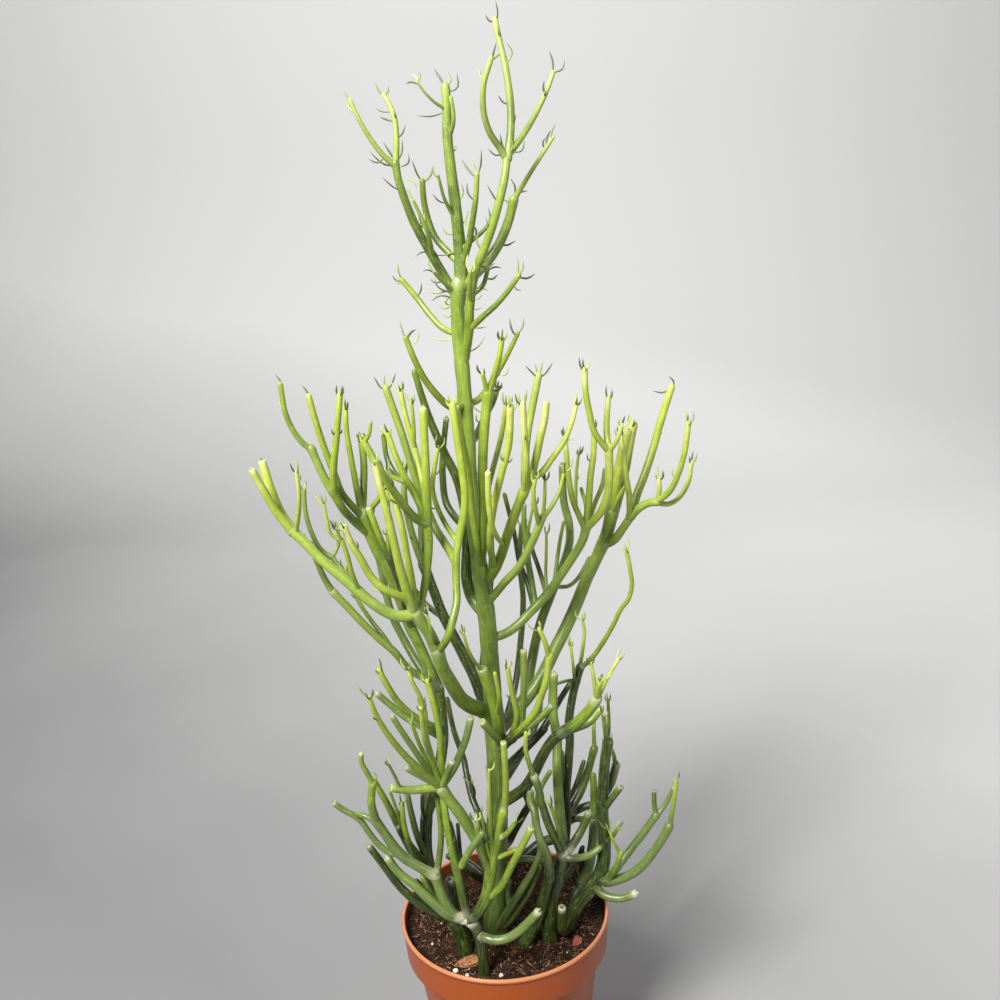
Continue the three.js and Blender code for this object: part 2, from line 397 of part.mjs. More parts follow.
// The depth of a parent's centre line where it passes nearest to (across, height).
function depthOn(parent, across, height) {
  let nearest = Infinity;
  let depth = 0;
  for (let i = 1; i < parent.points.length; i++) {
    const [a0, h0, d0] = parent.points[i - 1];
    const [a1, h1, d1] = parent.points[i];
    const length = (a1 - a0) ** 2 + (h1 - h0) ** 2;
    const along = ((across - a0) * (a1 - a0) + (height - h0) * (h1 - h0)) / length;
    const t = THREE.MathUtils.clamp(along, 0, 1);
    const apart = Math.hypot(a0 + t * (a1 - a0) - across, h0 + t * (h1 - h0) - height);
    if (apart < nearest) {
      nearest = apart;
      depth = d0 + t * (d1 - d0);
    }
  }
  return depth;
}

// The number of straight lengths that keeps a tube within about a millimetre of its curve.
function stepsFor(curve) {
  const tangents = Array.from({ length: 25 }, (_, i) => curve.getTangentAt(i / 24));
  let turning = 0;
  for (let i = 1; i < tangents.length; i++) turning += tangents[i].angleTo(tangents[i - 1]);
  return Math.max(2, Math.ceil(Math.sqrt((curve.getLength() * turning) / 10)));
}

// A closed tube round a curve. Its rings shrink from the base radius to the tip radius, and are
// as wide as the round stem on average. It ends in a point, or nearly flat where it is cut.
function stemGeometry(curve, base, tip, end) {
  const sides = base > 5.5 ? 8 : base > 3.7 ? 6 : base > 2 ? 5 : 4;
  const widen = Math.sqrt((2 * Math.PI) / (sides * Math.sin((2 * Math.PI) / sides)));
  const steps = stepsFor(curve);
  const frames = curve.computeFrenetFrames(steps, false);
  const positions = [];
  const ring = (centre, normal, binormal, radius) => {
    for (let i = 0; i < sides; i++) {
      const angle = (2 * Math.PI * i) / sides;
      const spoke = normal.clone().multiplyScalar(Math.cos(angle) * radius);
      spoke.addScaledVector(binormal, Math.sin(angle) * radius).add(centre);
      positions.push(spoke.x, spoke.y, spoke.z);
    }
  };
  for (let i = 0; i <= steps; i++) {
    const radius = THREE.MathUtils.lerp(base, tip, i / steps) * widen;
    ring(curve.getPointAt(i / steps), frames.normals[i], frames.binormals[i], radius);
  }
  const reach = { tuft: 1.4, bare: 1.4, joint: 0.8, cut: 0.1 }[end];
  const start = curve.getPointAt(0);
  const apex = curve.getPointAt(1).addScaledVector(frames.tangents[steps], tip * reach);
  positions.push(start.x, start.y, start.z, apex.x, apex.y, apex.z);
  const startIndex = (steps + 1) * sides;
  const apexIndex = startIndex + 1;
  const faces = [];
  for (let r = 0; r < steps; r++) {
    for (let i = 0; i < sides; i++) {
      const a = r * sides + i;
      const b = r * sides + ((i + 1) % sides);
      faces.push(a, b, a + sides, b, b + sides, a + sides);
    }
  }
  const last = startIndex - sides;
  for (let i = 0; i < sides; i++) {
    const next = (i + 1) % sides;
    faces.push(startIndex, next, i, last + i, last + next, apexIndex);
  }
  const geometry = new THREE.BufferGeometry();
  geometry.setAttribute("position", new THREE.Float32BufferAttribute(positions, 3));
  geometry.setIndex(faces);
  return geometry;
}

// A narrow curved leaf with three sides, from a foot inside the stem's tip to a point.
function leafGeometry(foot, direction, bend, length) {
  const across = new THREE.Vector3().crossVectors(direction, bend).normalize();
  const positions = [];
  const section = (along, curl, halfWidth) => {
    const centre = foot.clone().addScaledVector(direction, along).addScaledVector(bend, curl);
    for (const [side, lift] of [[-1, 0], [1, 0], [0, 1]]) {
      const corner = centre.clone().addScaledVector(across, side * halfWidth);
      corner.addScaledVector(bend, lift * halfWidth);
      positions.push(corner.x, corner.y, corner.z);
    }
  };
  section(0, 0, LEAF_HALF_WIDTH * 0.8);
  section(length * 0.5, length * 0.08, LEAF_HALF_WIDTH);
  const point = foot.clone().addScaledVector(direction, length).addScaledVector(bend, length * 0.3);
  positions.push(point.x, point.y, point.z);
  const faces = [0, 2, 1];
  for (let i = 0; i < 3; i++) {
    const next = (i + 1) % 3;
    faces.push(i, next, i + 3, next, next + 3, i + 3, i + 3, next + 3, 6);
  }
  const geometry = new THREE.BufferGeometry();
  geometry.setAttribute("position", new THREE.Float32BufferAttribute(positions, 3));
  geometry.setIndex(faces);
  return geometry;
}

// The tuft at a young tip: leaves spread evenly round it, each leaning out and curling back.
function tuftOf(curve, tip, random) {
  const end = curve.getPointAt(1);
  const axis = curve.getTangentAt(1).normalize();
  const side = new THREE.Vector3(axis.z, 0, -axis.x);
  if (side.length() < 0.1) side.set(1, 0, 0);
  side.normalize();
  const count = tip > 2.3 ? 3 : 2;
  const turn = random() * 2 * Math.PI;
  return Array.from({ length: count }, (_, i) => {
    const angle = turn + ((i + 0.3 * random()) * 2 * Math.PI) / count;
    const outward = side.clone().applyAxisAngle(axis, angle).normalize();
    const lean = 0.45 + 0.5 * random();
    const direction = axis.clone().addScaledVector(outward, lean).normalize();
    const bend = axis.clone().addScaledVector(outward, -1).normalize();
    const foot = end.clone().addScaledVector(outward, tip * 0.25).addScaledVector(axis, -tip * 0.4);
    return leafGeometry(foot, direction, bend, LEAF_LENGTH * (0.75 + 0.4 * random()));
  });
}

// A solid without the small pockets that its stems close in between them.
function filled(solid) {
  return wasm.Manifold.union(solid.decompose().filter((body) => body.volume() > 0));
}

// One rooted cutting: every stem and leaf of it fused into one body, and its root on its own.
function growCutting({ table, seed }) {
  const random = seeded(seed);
  const rows = readTable(table);
  const byName = new Map(rows.map((row) => [row.name, row]));
  const solids = [];
  let root;
  for (const row of rows) {
    const parent = byName.get(row.parent);
    if (parent) row.points[0][2] = depthOn(parent, ...row.points[0]);
    const points = row.points.map((point) => inSpace(...point));
    const [base, tip] = [
      row.base * reachOf(...row.points[0].slice(1)),
      row.tip * reachOf(...row.points.at(-1).slice(1)),
    ];
    if (!parent) {
      const foot = points[0].clone();
      foot.z = POT_HEIGHT - SOIL_DROP - ROOT_DEPTH;
      points.unshift(foot);
      root = { x: foot.x, y: foot.y, radius: base };
    }
    const curve = new THREE.CatmullRomCurve3(points, false, "centripetal");
    solids.push(solidOf(stemGeometry(curve, base, tip, row.end)));
    if (row.end === "tuft") solids.push(...tuftOf(curve, tip, random).map(solidOf));
  }
  return { solid: filled(wasm.Manifold.union(solids)), root };
}

// The pot: one lathed wall of even thickness with a rolled rim, a deep lip, a tapered body and a
// floor with a ring of drain holes.
function potSolid() {
  const lip = POT_HEIGHT - BAND_HEIGHT;
  const outline = [
    [0, 0],
    [BODY_FOOT_RADIUS - 2, 0],
    [BODY_FOOT_RADIUS, 2],
    [BODY_TOP_RADIUS - 0.4, lip - 3],
    [BODY_TOP_RADIUS + 1.2, lip - 0.8],
    [BAND_FOOT_RADIUS - 1, lip],
    [BAND_FOOT_RADIUS, lip + 1],
    [RIM_RADIUS - 1, POT_HEIGHT - 4.6],
    [RIM_RADIUS, POT_HEIGHT - 2],
    [RIM_RADIUS - 1, POT_HEIGHT],
    [RIM_RADIUS - 2.4, POT_HEIGHT - 0.4],
    [RIM_RADIUS - 3, POT_HEIGHT - 2.4],
    [BAND_FOOT_RADIUS - WALL - 0.6, lip + WALL + 0.4],
    [BODY_TOP_RADIUS - WALL + 0.4, lip + WALL - 1],
    [BODY_TOP_RADIUS - WALL - 0.4, lip - 3],
    [BODY_FOOT_RADIUS - WALL, FLOOR + 1],
    [BODY_FOOT_RADIUS - WALL - 1, FLOOR],
    [0, FLOOR],
  ];
  const lathe = new THREE.LatheGeometry(outline.map(([x, y]) => new THREE.Vector2(x, y)), 36);
  lathe.rotateX(Math.PI / 2);
  let pot = solidOf(lathe);
  for (let i = 0; i < DRAIN_HOLES; i++) {
    const angle = (2 * Math.PI * i) / DRAIN_HOLES;
    const hole = new THREE.CylinderGeometry(DRAIN_RADIUS, DRAIN_RADIUS, FLOOR * 4, 10);
    hole.rotateX(Math.PI / 2);
    hole.translate(Math.cos(angle) * DRAIN_CIRCLE, Math.sin(angle) * DRAIN_CIRCLE, 0);
    pot = pot.subtract(solidOf(hole));
  }
  return pot;
}

// The height of the soil's uneven top at a place, which falls a little towards the wall.
function soilTop(x, y) {
  const waves = Math.sin(x * 0.13 + 1) * Math.cos(y * 0.11 - 0.4) + 0.5 * Math.sin((x + y) * 0.21);
  return POT_HEIGHT - SOIL_DROP + 0.6 * waves;
}

// The potting soil fills the pot to just under its rim, with a plain hole for each cutting.
function soilSolid(roots, bits) {
  const lip = POT_HEIGHT - BAND_HEIGHT;
  const top = POT_HEIGHT - SOIL_DROP;
  const inset = WALL + FIT + 0.25;
  const outline = [
    [0, FLOOR + FIT],
    [BODY_FOOT_RADIUS - inset - 1.5, FLOOR + FIT],
    [BODY_FOOT_RADIUS - inset - 0.3, FLOOR + 2],
    [BODY_TOP_RADIUS - inset - 0.8, lip - 3],
    [BODY_TOP_RADIUS - inset - 0.4, lip + 1],
    [BAND_FOOT_RADIUS - inset - 2, lip + WALL + 2],
    [BAND_FOOT_RADIUS - inset - 0.6, lip + 4.5],
    [RIM_RADIUS - 5, top],
    [58, top],
    [28, top],
    [0, top],
  ];
  const lathe = new THREE.LatheGeometry(outline.map(([x, y]) => new THREE.Vector2(x, y)), 24);
  lathe.rotateX(Math.PI / 2);
  const places = lathe.getAttribute("position");
  for (let i = 0; i < places.count; i++) {
    const [x, y] = [places.getX(i), places.getY(i)];
    if (Math.abs(places.getZ(i) - top) < 1e-3) places.setZ(i, soilTop(x, y));
  }
  let soil = solidOf(lathe);
  for (const { x, y, radius } of roots) {
    const deep = ROOT_DEPTH + SOIL_DROP;
    const hole = new THREE.CylinderGeometry(radius * 1.05 + 3.4, radius * 1.05 + 2, deep, 10);
    hole.rotateX(Math.PI / 2);
    hole.translate(x, y, POT_HEIGHT - SOIL_DROP - ROOT_DEPTH - FIT + deep / 2);
    soil = soil.subtract(solidOf(hole));
  }
  for (const bit of bits) soil = soil.subtract(bit.socket);
  return soil;
}

// A rounded grain of perlite, sunk a little in the soil, and the socket that it lies in.
function grain([x, y, radius]) {
  const shape = (size) => {
    const ball = new THREE.IcosahedronGeometry(size, 0);
    ball.scale(1, 0.85, 0.75);
    ball.rotateZ(x);
    return solidOf(ball.translate(x, y, soilTop(x, y) + radius * 0.2));
  };
  return { solid: shape(radius), socket: shape(radius + 0.4) };
}

// A flat chip of bark with worn corners, lying in its own socket in the soil.
function barkChip({ x, y, turn, size }) {
  const shape = (extra) => {
    const [length, width, thick] = size.map((side) => side + extra);
    const outline = new THREE.Shape([
      new THREE.Vector2(-length / 2, -width / 4),
      new THREE.Vector2(-length / 5, -width / 2),
      new THREE.Vector2(length / 2, -width / 3),
      new THREE.Vector2(length / 2.4, width / 3),
      new THREE.Vector2(0, width / 2),
      new THREE.Vector2(-length / 2.3, width / 4),
    ]);
    const slab = new THREE.ExtrudeGeometry(outline, { depth: thick, bevelEnabled: false });
    slab.translate(0, 0, -thick / 2).rotateX(0.2).rotateZ(turn);
    return solidOf(slab.translate(x, y, soilTop(x, y) + 0.6));
  };
  return { solid: shape(0), socket: shape(0.8) };
}

const euphorbia = new THREE.Group();
const plants = new THREE.Group();
const litter = new THREE.Group();
const roots = [];
for (const [name, cutting] of Object.entries(CUTTINGS)) {
  const { solid, root } = growCutting(cutting);
  roots.push(root);
  plants.add(meshOf(name, solid, { color: cutting.colour, roughness: 0.55 }));
}
const bits = [];
PERLITE.forEach((place, i) => {
  const made = grain(place);
  bits.push(made);
  litter.add(meshOf(`perlite_${i + 1}`, made.solid, { color: 0xe8e4da, roughness: 0.9 }));
});
for (const chip of BARK) {
  const made = barkChip(chip);
  bits.push(made);
  litter.add(meshOf(chip.name, made.solid, { color: chip.colour, roughness: 0.9 }));
}
const terracotta = { color: 0xc06a42, roughness: 0.5 };
const peat = { color: 0x3a2a20, roughness: 1 };
euphorbia.add(meshOf("pot", potSolid(), terracotta));
euphorbia.add(meshOf("soil", soilSolid(roots, bits), peat));
euphorbia.add(plants, litter);

export default euphorbia;
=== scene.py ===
"""A potted pencil euphorbia in a terracotta-coloured nursery pot, dressed over its fixed frame.

Seven rooted cuttings stand in peaty soil. Each one is grown here from a written table of its
stems, with swollen joints, pale scars and small leaves at the young tips. Lengths in the tables
are millimetres, and the finished pieces are metres.
"""

from __future__ import annotations

import json
import logging
import math
import random
from dataclasses import dataclass, field
from enum import Enum
from typing import ClassVar

import bpy
import numpy as np
from mathutils import Matrix, Vector, noise

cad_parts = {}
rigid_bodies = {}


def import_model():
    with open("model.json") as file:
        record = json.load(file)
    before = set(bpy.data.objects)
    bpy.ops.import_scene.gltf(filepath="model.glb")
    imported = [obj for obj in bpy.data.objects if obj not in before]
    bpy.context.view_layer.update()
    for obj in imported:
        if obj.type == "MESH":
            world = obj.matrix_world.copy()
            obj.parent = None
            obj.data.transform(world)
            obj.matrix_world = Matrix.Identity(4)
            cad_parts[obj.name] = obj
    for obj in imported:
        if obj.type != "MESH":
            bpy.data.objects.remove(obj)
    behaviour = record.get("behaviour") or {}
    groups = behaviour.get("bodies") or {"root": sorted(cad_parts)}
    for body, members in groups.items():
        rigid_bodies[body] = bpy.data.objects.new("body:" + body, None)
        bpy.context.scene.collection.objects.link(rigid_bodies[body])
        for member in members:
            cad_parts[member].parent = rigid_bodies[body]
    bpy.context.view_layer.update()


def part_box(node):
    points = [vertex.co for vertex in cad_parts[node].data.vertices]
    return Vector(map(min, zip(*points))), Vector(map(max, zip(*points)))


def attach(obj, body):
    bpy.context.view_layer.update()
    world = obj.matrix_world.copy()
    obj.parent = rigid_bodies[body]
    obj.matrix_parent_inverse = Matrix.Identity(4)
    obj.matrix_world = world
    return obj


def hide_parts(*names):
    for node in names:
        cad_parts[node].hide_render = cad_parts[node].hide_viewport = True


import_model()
LOG = logging.getLogger("euphorbia")

Pair = tuple[float, float]
Triple = tuple[float, float, float]
Colour = Triple

MM = 0.001
POINT = 0.0002  # the radius, in millimetres, of a ring that closes an end
POT_HEIGHT = 155.0
RIM_RADIUS = 85.0
BAND_HEIGHT = 30.0
BAND_FOOT_RADIUS = 82.6
BODY_TOP_RADIUS = 75.5
BODY_FOOT_RADIUS = 61.0
SOIL_DROP = 10.0
ROOT_DEPTH = 24.0
DRAIN_HOLES = 8
DRAIN_RADIUS = 5.0
DRAIN_CIRCLE = 44.0

# The stems are placed on an upright plane through the pot's axis, seen from EYE, as in the frame:
# across and height from the centre of the rim, and a depth behind (+) or before (-) that plane.
EYE = np.array([17.4, -759.0, 574.0])
DEPTH_SPREAD = 0.6
CAMERA_PITCH = math.radians(16.5)
CAMERA_ROLL = math.radians(-3.66)
CAMERA_LENS = 39.0
SENSOR_WIDTH = 36.0
NOISE_SEED = 1  # for Blender's noise vectors, which would else follow the clock

# One row is one stem: name, the stem it grows from, its radius at both ends, how it ends, and its
# points as across,height,depth. A stem that grows from another has no depth at its first point. An
# indented line goes on with the row above it, in every table.
TALL = """
trunk - 10 6.4 joint -10,-30,-23 -8,0,-20 -4,50,-14 0,100,-8 2,150,-3 2,210,0 2,250,0 1,270,0
trunkTop trunk 6 4.8 joint 1,262 -1,300,0 -3,335,3 -3,400,5 -3,440,5 -4,475,6 -3,495,6 -1,509,6
leader trunkTop 4.6 3.1 tuft 0,504 1,525,7 0,560,8 -2,600,9 -1,622,9 -1,633,9
leaderA leader 1.3 0.7 bare 0,619 -8,624,6 -14,630,4 -19,637,3
crownRight trunkTop 3.4 2.7 joint -2,450 3,472,-1 5,490,-3 9,509,-4 15,523,-7 22,538,-9 28,554,-10
  34,573,-10 37,590,-8
crownRightA crownRight 2.5 1.7 tuft 36,587 32,594,-10 26,604,-14 23,617,-18 24,633,-21 30,649,-23
crownRightB crownRight 2.9 2.0 tuft 37,586 40,603,-6 41,620,-4 39,643,-2 36,660,0 34,672,1
crownRightC crownRight 2.4 1.5 tuft 37,588 46,598,-5 55,610,-1 64,625,3 70,638,5
crownBack trunkTop 3.9 3 joint 2,506 10,512,8 20,521,12 29,533,13 36,548,13 40,561,11
crownBackA crownBack 1.9 1.2 tuft 40,560 50,574,7 59,586,4 68,598,2
crownLeft trunkTop 3.5 2.6 joint -4,498 -11,512,8 -20,530,5 -28,547,1 -33,562,-3 -37,578,-6
  -38,589,-7
crownLeftA crownLeft 2 1.3 tuft -38,586 -46,594,-9 -54,606,-11 -60,618,-13 -64,629,-14
crownLeftB crownLeft 2.4 1.5 tuft -38,586 -36,603,-6 -36,616,-5 -39,626,-4 -42,631,-3
leaderB leader 1.6 1.3 bare 0,604 2.6,612,6 2.8,620,6 2,627,6
innerLeft leader 2.6 2 tuft 0,520 -8,529,10 -15,538,13 -19,550,15 -21,563,15 -21,575,14
innerLeftLow crownLeft 1.9 1.1 tuft -18,526 -20,541,-4 -24,553,-7 -28,563,-9
innerRight leader 2.5 1.7 tuft 1,518 7,532,3 11,548,0 14,562,-2 16,577,-3
innerRightLow leader 1.8 1.3 tuft 1,528 10,535,3 17,540,1 23,546,0
innerShoot leader 1.5 0.9 tuft 0,548 -7,563,2 -10,578,-1
whorlLeft trunkTop 1.8 1 tuft -3,500 -13,509,0 -18,515,-4
whorlRight trunkTop 2.4 1.4 tuft -1,495 8,499,10 15,504,14 19,514,17
whorlFront crownRight 2.4 1.6 tuft 6,494 6,503,-9 7,513,-12
armLeft trunkTop 2.4 1.9 tuft -4,472 -14,476,10 -22,485,14 -30,497,18 -40,511,20
armRight crownRight 2.3 1.8 tuft 3,474 14,483,-6 23,490,-9 32,499,-11 40,509,-12
lowArmLeft trunkTop 2.9 2 tuft -3,421 -14,421,-4 -22,429,-9 -30,441,-13 -36,455,-16 -41,471,-18
midRight trunkTop 3.2 3.8 joint 0,298 3,318,-8 5,340,-11 6,370,-13 9,400,-14 14,431,-14
midRightA midRight 2.2 1.5 tuft 14,428 12,436,-17 11,442,-19
midRightB midRight 2.6 1.9 tuft 14,428 19,441,-17 23,453,-20 26,466,-22
midRightC trunkTop 2.6 1.6 tuft -2,422 6,424,9 12,430,11 20,441,9 29,455,6 37,469,4
midDark trunkTop 3.4 1.6 tuft -3,392 5,401,12 10,411,17 17,422,20 21,432,21
midThin midRight 2.4 1.8 tuft 5,346 12,368,-4 17,383,0 21,396,2 26,419,3
forkLeft trunk 4.8 2.3 bare 0,262 -8,274,4 -11,289,6 -10,305,8 -8,325,10 -9,346,12 -13,368,14
  -20,386,15 -26,403,15 -31,420,15 -37,447,15
forkBack forkLeft 3 2 cut -9,330 -16,338,18 -22,350,23 -23,370,25 -21,390,25 -17,413,24
pencilFront trunkTop 2.6 3.1 cut 0,296 -1,312,-8 -3,335,-13 -4,350,-16 -5,375,-18 -8,400,-19
  -10,421,-19
limbRight trunkTop 3.8 3.6 joint 1,284 8,292,-1 15,305,-7 22,324,-14 30,343,-21
  37,358,-26 41,366,-27
limbRightA limbRight 3.2 2.4 cut 40,362 45,378,-31 49,393,-34 53,407,-36 55,420,-37
limbRightB limbRight 2.6 1.6 tuft 40,363 49,368,-27 57,378,-28 66,390,-29 72,403,-28 76,416,-27
limbRightC limbRight 3 2.7 tuft 36,354 37,375,-18 40,397,-14 44,414,-12 50,438,-12
limbRightD limbRight 2.6 2.4 tuft 35,352 38,372,-34 38,395,-38 38,418,-40
pencilRight limbRight 2.6 2.8 tuft 10,298 8,315,-18 10,333,-24 14,350,-28 20,370,-32 26,390,-35
  29,417,-38
pencilLow limbRight 1.7 2.3 cut 18,314 13,322,-27 10,332,-32 9,350,-35 10,371,-37
limbMid trunk 3.2 2.9 joint 1,268 10,277,-3 18,286,-9 28,296,-15 36,309,-20 43,323,-25 48,335,-27
limbMidA limbMid 1.9 1.3 tuft 47,332 55,342,-27 61,353,-25 65,367,-24
limbMidB limbMid 2 1.5 tuft 45,327 43,340,-32 42,352,-35 44,364,-37
limbMidC limbMid 1.6 1.1 tuft 48,333 50,348,-26 51,362,-25
limbLow trunk 3.5 3.3 joint 2,240 16,244,2 26,251,4 37,262,6 48,273,7 58,286,7 67,299,7 76,313,6
  80,325,6
lowA limbLow 2.4 1.8 tuft 79,322 74,335,4 70,348,2 68,368,0 67,393,-1
lowB limbLow 1.5 1.1 tuft 78,322 73,338,11 73,352,13 74,366,14 76,379,14
lowC limbLow 2.8 2 tuft 79,323 82,342,9 84,362,12 87,380,14 88,399,15
lowD limbLow 2 1.7 cut 80,325 87,343,16 93,357,22 95,368,25
lowE limbLow 3.0 3.1 joint 79,323 90,334,3 96,348,1 98,365,0 98,384,0
lowEA lowE 2.4 2.2 tuft 98,381 94,386,-2 88,396,-4 85,411,-6 83,425,-8 83,440,-9
lowEB lowE 2.5 2 tuft 98,380 97,398,5 99,419,8
lowEC lowE 1.9 1.5 tuft 98,380 104,388,-4 108,399,-6
lowF limbLow 1.8 1.3 bare 79,322 80,340,14 77,354,18
risingA limbLow 2.3 1.6 bare 38,263 34,283,14 29,300,18 27,318,20 24,336,20 21,353,19
risingB limbLow 2.4 2.6 joint 39,264 37,285,12 35,303,8 35,320,6
risingBA risingB 2.3 1.7 cut 35,317 34,332,4 35,345,3
risingBB risingB 1.4 1 tuft 35,318 38,330,2 41,342,0
risingC limbLow 1.9 1.6 bare 48,272 43,294,17 39,309,21 37,322,22
risingD limbLow 1.3 1 tuft 48,273 48,290,12 49,304,13 50,321,14
risingE limbLow 1.7 1.3 bare 54,281 57,300,15 60,316,17 63,329,18
limbBig trunk 5.2 4.6 joint 1,158 14,172,6 24,184,11 34,196,14 43,210,17 51,226,20 60,243,23
  70,264,26 79,285,28 88,303,28 95,319,26 99,335,24
forkDark limbBig 4.2 2.6 cut 27,188 30,203,22 34,220,28 38,237,31 43,253,31 50,270,30 57,286,28
  63,300,26 67,315,25 67,328,25 64,345,26 64,373,24
forkThin forkDark 1.7 1.5 bare 54,279 65,279,36 73,286,41 81,300,45
bigOuter limbBig 3.4 3 joint 91,309 100,313,22 107,322,19 114,332,17
outerA bigOuter 3.3 2.6 tuft 113,330 117,345,20 123,360,24 130,380,28 136,400,30 144,424,31
outerB bigOuter 3.3 2.8 joint 112,330 120,337,12 127,340,9 133,340,6
outerBA outerB 1.8 1.6 tuft 132,340 134,348,5 134,357,5
outerBB outerB 2.4 2 tuft 131,340 141,347,2 148,360,-1 153,377,-3 156,397,-4
outerBC outerB 2.1 1.7 tuft 131,340 141,338,8 149,343,9 155,353,10 158,368,10
outerC bigOuter 2.6 1.6 tuft 112,329 112,345,10 110,362,6 109,378,4 107,390,3
bigA limbBig 4.2 3.7 cut 99,331 101,350,24 105,366,24 109,384,24 112,396,24
bigB limbBig 4 3.4 tuft 99,331 105,350,32 110,370,36 113,385,38 116,398,38
bigC limbBig 2 1.4 tuft 99,333 104,345,18 108,352,16
limbBase trunk 4.6 4.2 joint 0,96 14,104,-13 22,110,-18 29,120,-22 37,136,-27 45,149,-31 53,157,-33
baseA limbBase 4.6 4 joint 51,155 61,161,-34 70,168,-35 77,176,-36 83,185,-37
baseAA baseA 2.6 2 tuft 82,183 84,193,-40 87,200,-42
baseAB baseA 1.9 1.2 tuft 82,183 81,198,-36 79,214,-35
baseAC baseA 2 1.3 tuft 82,182 91,201,-33 100,216,-30
baseB limbBase 3.6 3 bare 51,155 64,160,-26 75,164,-22 85,175,-20
limbBack trunk 3.9 3 joint 2,124 14,134,4 24,144,8 33,153,10 41,162,11
limbBackA limbBack 2.8 2.2 bare 39,160 46,172,14 53,184,17 62,198,19
burst trunk 4.5 4 joint 2,146 9,151,-10 16,156,-17
burstA burst 2.8 2.6 joint 15,155 20,160,-22 27,167,-26 34,176,-28 39,188,-29 44,203,-30 48,225,-31
burstAA burstA 2.2 1.7 tuft 47,221 45,233,-33 41,245,-34
burstB burst 3 2.7 cut 15,155 27,162,-14 37,170,-13 48,181,-12
burstC burst 3 1.8 tuft 14,155 20,172,-20 18,190,-22 16,204,-24 15,215,-25
burstD burst 2.9 2.6 cut 15,155 22,165,-8 25,182,-7 27,205,-7 28,229,-8
burstE burst 3.4 3.2 cut 8,150 1,159,-20 -8,171,-26
burstF burst 4.4 4.4 cut 6,150 5,168,-14 3,182,-16 0,198,-18 -5,216,-20
burstFA burstF 1.7 1.1 tuft -4,214 -10,222,-24 -14,232,-26 -17,246,-28
burstFB burstF 2.2 1.6 bare 4,175 7,190,-24 5,211,-27
limbLeft trunk 6.4 5 joint 2,168 -6,180,-8 -14,184,-14 -22,191,-20 -29,205,-27 -35,220,-33
  -38,236,-37
leftUpper limbLeft 4.5 4.8 joint -38,233 -42,246,-39 -47,256,-41 -53,266,-43
leftThin limbLeft 1.3 1 tuft -38,234 -41,250,-46 -43,263,-47
sweepLeft limbLeft 3 2.8 tuft -37,232 -29,243,-44 -24,257,-42 -20,272,-38 -19,290,-34 -18,306,-32
  -14,324,-30 -10,340,-29 -8,355,-28 -9,378,-27 -12,422,-26
spread leftUpper 4.3 3.6 joint -52,264 -64,263,-45 -73,267,-46 -84,276,-47 -96,289,-47 -108,302,-46
  -119,314,-45 -128,326,-44 -137,337,-43
spreadA spread 3.3 2.6 cut -136,335 -146,351,-44 -153,367,-46 -160,384,-48
spreadB spread 3.9 3.2 cut -136,335 -143,350,-39 -148,367,-36 -152,390,-34
spreadC spread 1.9 1.6 tuft -134,334 -130,350,-48 -128,364,-51 -128,380,-53
spreadD spread 2 1.7 joint -92,285 -96,300,-52 -98,314,-55 -101,327,-57
spreadDA spreadD 1.5 1 tuft -101,326 -108,331,-58 -110,343,-59 -111,355,-60
spreadDB spreadD 1.4 1 tuft -101,325 -104,335,-61
spreadE spread 2.3 1.9 joint -93,286 -99,296,-38 -105,306,-34 -110,315,-32
spreadEA spreadE 2.1 1.5 tuft -109,313 -117,320,-31 -123,336,-31 -125,352,-31 -124,367,-31
spreadEB spreadE 1.6 1.2 tuft -109,314 -104,322,-30 -103,333,-30
pencilA leftUpper 3.2 2.6 tuft -52,265 -58,277,-46 -66,281,-49 -74,286,-51 -82,296,-52 -88,310,-54
  -94,323,-56 -98,335,-57
pencilB leftUpper 3.9 2.4 tuft -53,266 -57,285,-47 -60,302,-50 -63,325,-53 -66,348,-55 -69,366,-56
  -71,382,-56
pencilC leftUpper 2.9 2.4 tuft -52,265 -52,288,-40 -54,312,-40 -56,335,-40 -59,352,-39 -64,376,-38
inner leftUpper 3 3.3 joint -50,261 -46,275,-35 -42,290,-33 -39,306,-32 -37,322,-32 -37,338,-32
innerA inner 3.4 2.6 tuft -37,334 -46,340,-36 -53,350,-42 -60,362,-46 -67,376,-48 -73,389,-49
  -78,401,-50
innerAA innerA 1.7 1.2 cut -77,399 -73,405,-52 -71,414,-53
innerB inner 3.6 2.7 cut -37,335 -36,352,-33 -35,372,-35 -34,395,-36 -33,421,-37
innerC inner 2.9 2.1 tuft -37,335 -44,357,-28 -50,370,-26 -55,385,-24 -60,404,-22
innerD innerB 2.5 2 tuft -36,352 -39,375,-24 -42,395,-20 -46,416,-18 -48,434,-18
innerE innerD 1.7 1.4 tuft -42,392 -41,408,-24 -41,425,-25
innerF innerC 1.8 1.5 tuft -49,367 -58,371,-26 -66,378,-28
innerG innerC 2.3 1.8 tuft -49,367 -57,374,-16 -62,386,-12 -63,402,-10
cross sweepLeft 3.2 2.7 tuft -18,303 -25,318,-22 -31,330,-16 -36,345,-10 -41,362,-6 -46,385,-4
  -50,404,-4 -58,436,-4
crossFront sweepLeft 2.1 1.6 tuft -15,318 -23,332,-22 -29,348,-18 -31,362,-16 -28,378,-16
  -25,391,-16
lean trunk 3.2 2 bare -10,-25 -4,-14,-33 3,-2,-36 10,9,-38 19,24,-38 25,34,-38 32,52,-34 31,68,-28
  30,84,-26 31,98,-26 36,111,-28 43,123,-30
twig trunk 3.4 3 bare -1,56 7,62,6 11,70,8 15,77,10 21,88,12 25,95,13 23,104,14 21,110,14
leanB lean 2.8 2.5 bare -8,-20 1,-15,-33 11,-2,-34 19,11,-34 26,25,-33 30,36,-32
leanC lean 3 2.7 bare 5,0 4,12,-32 5,24,-32
"""

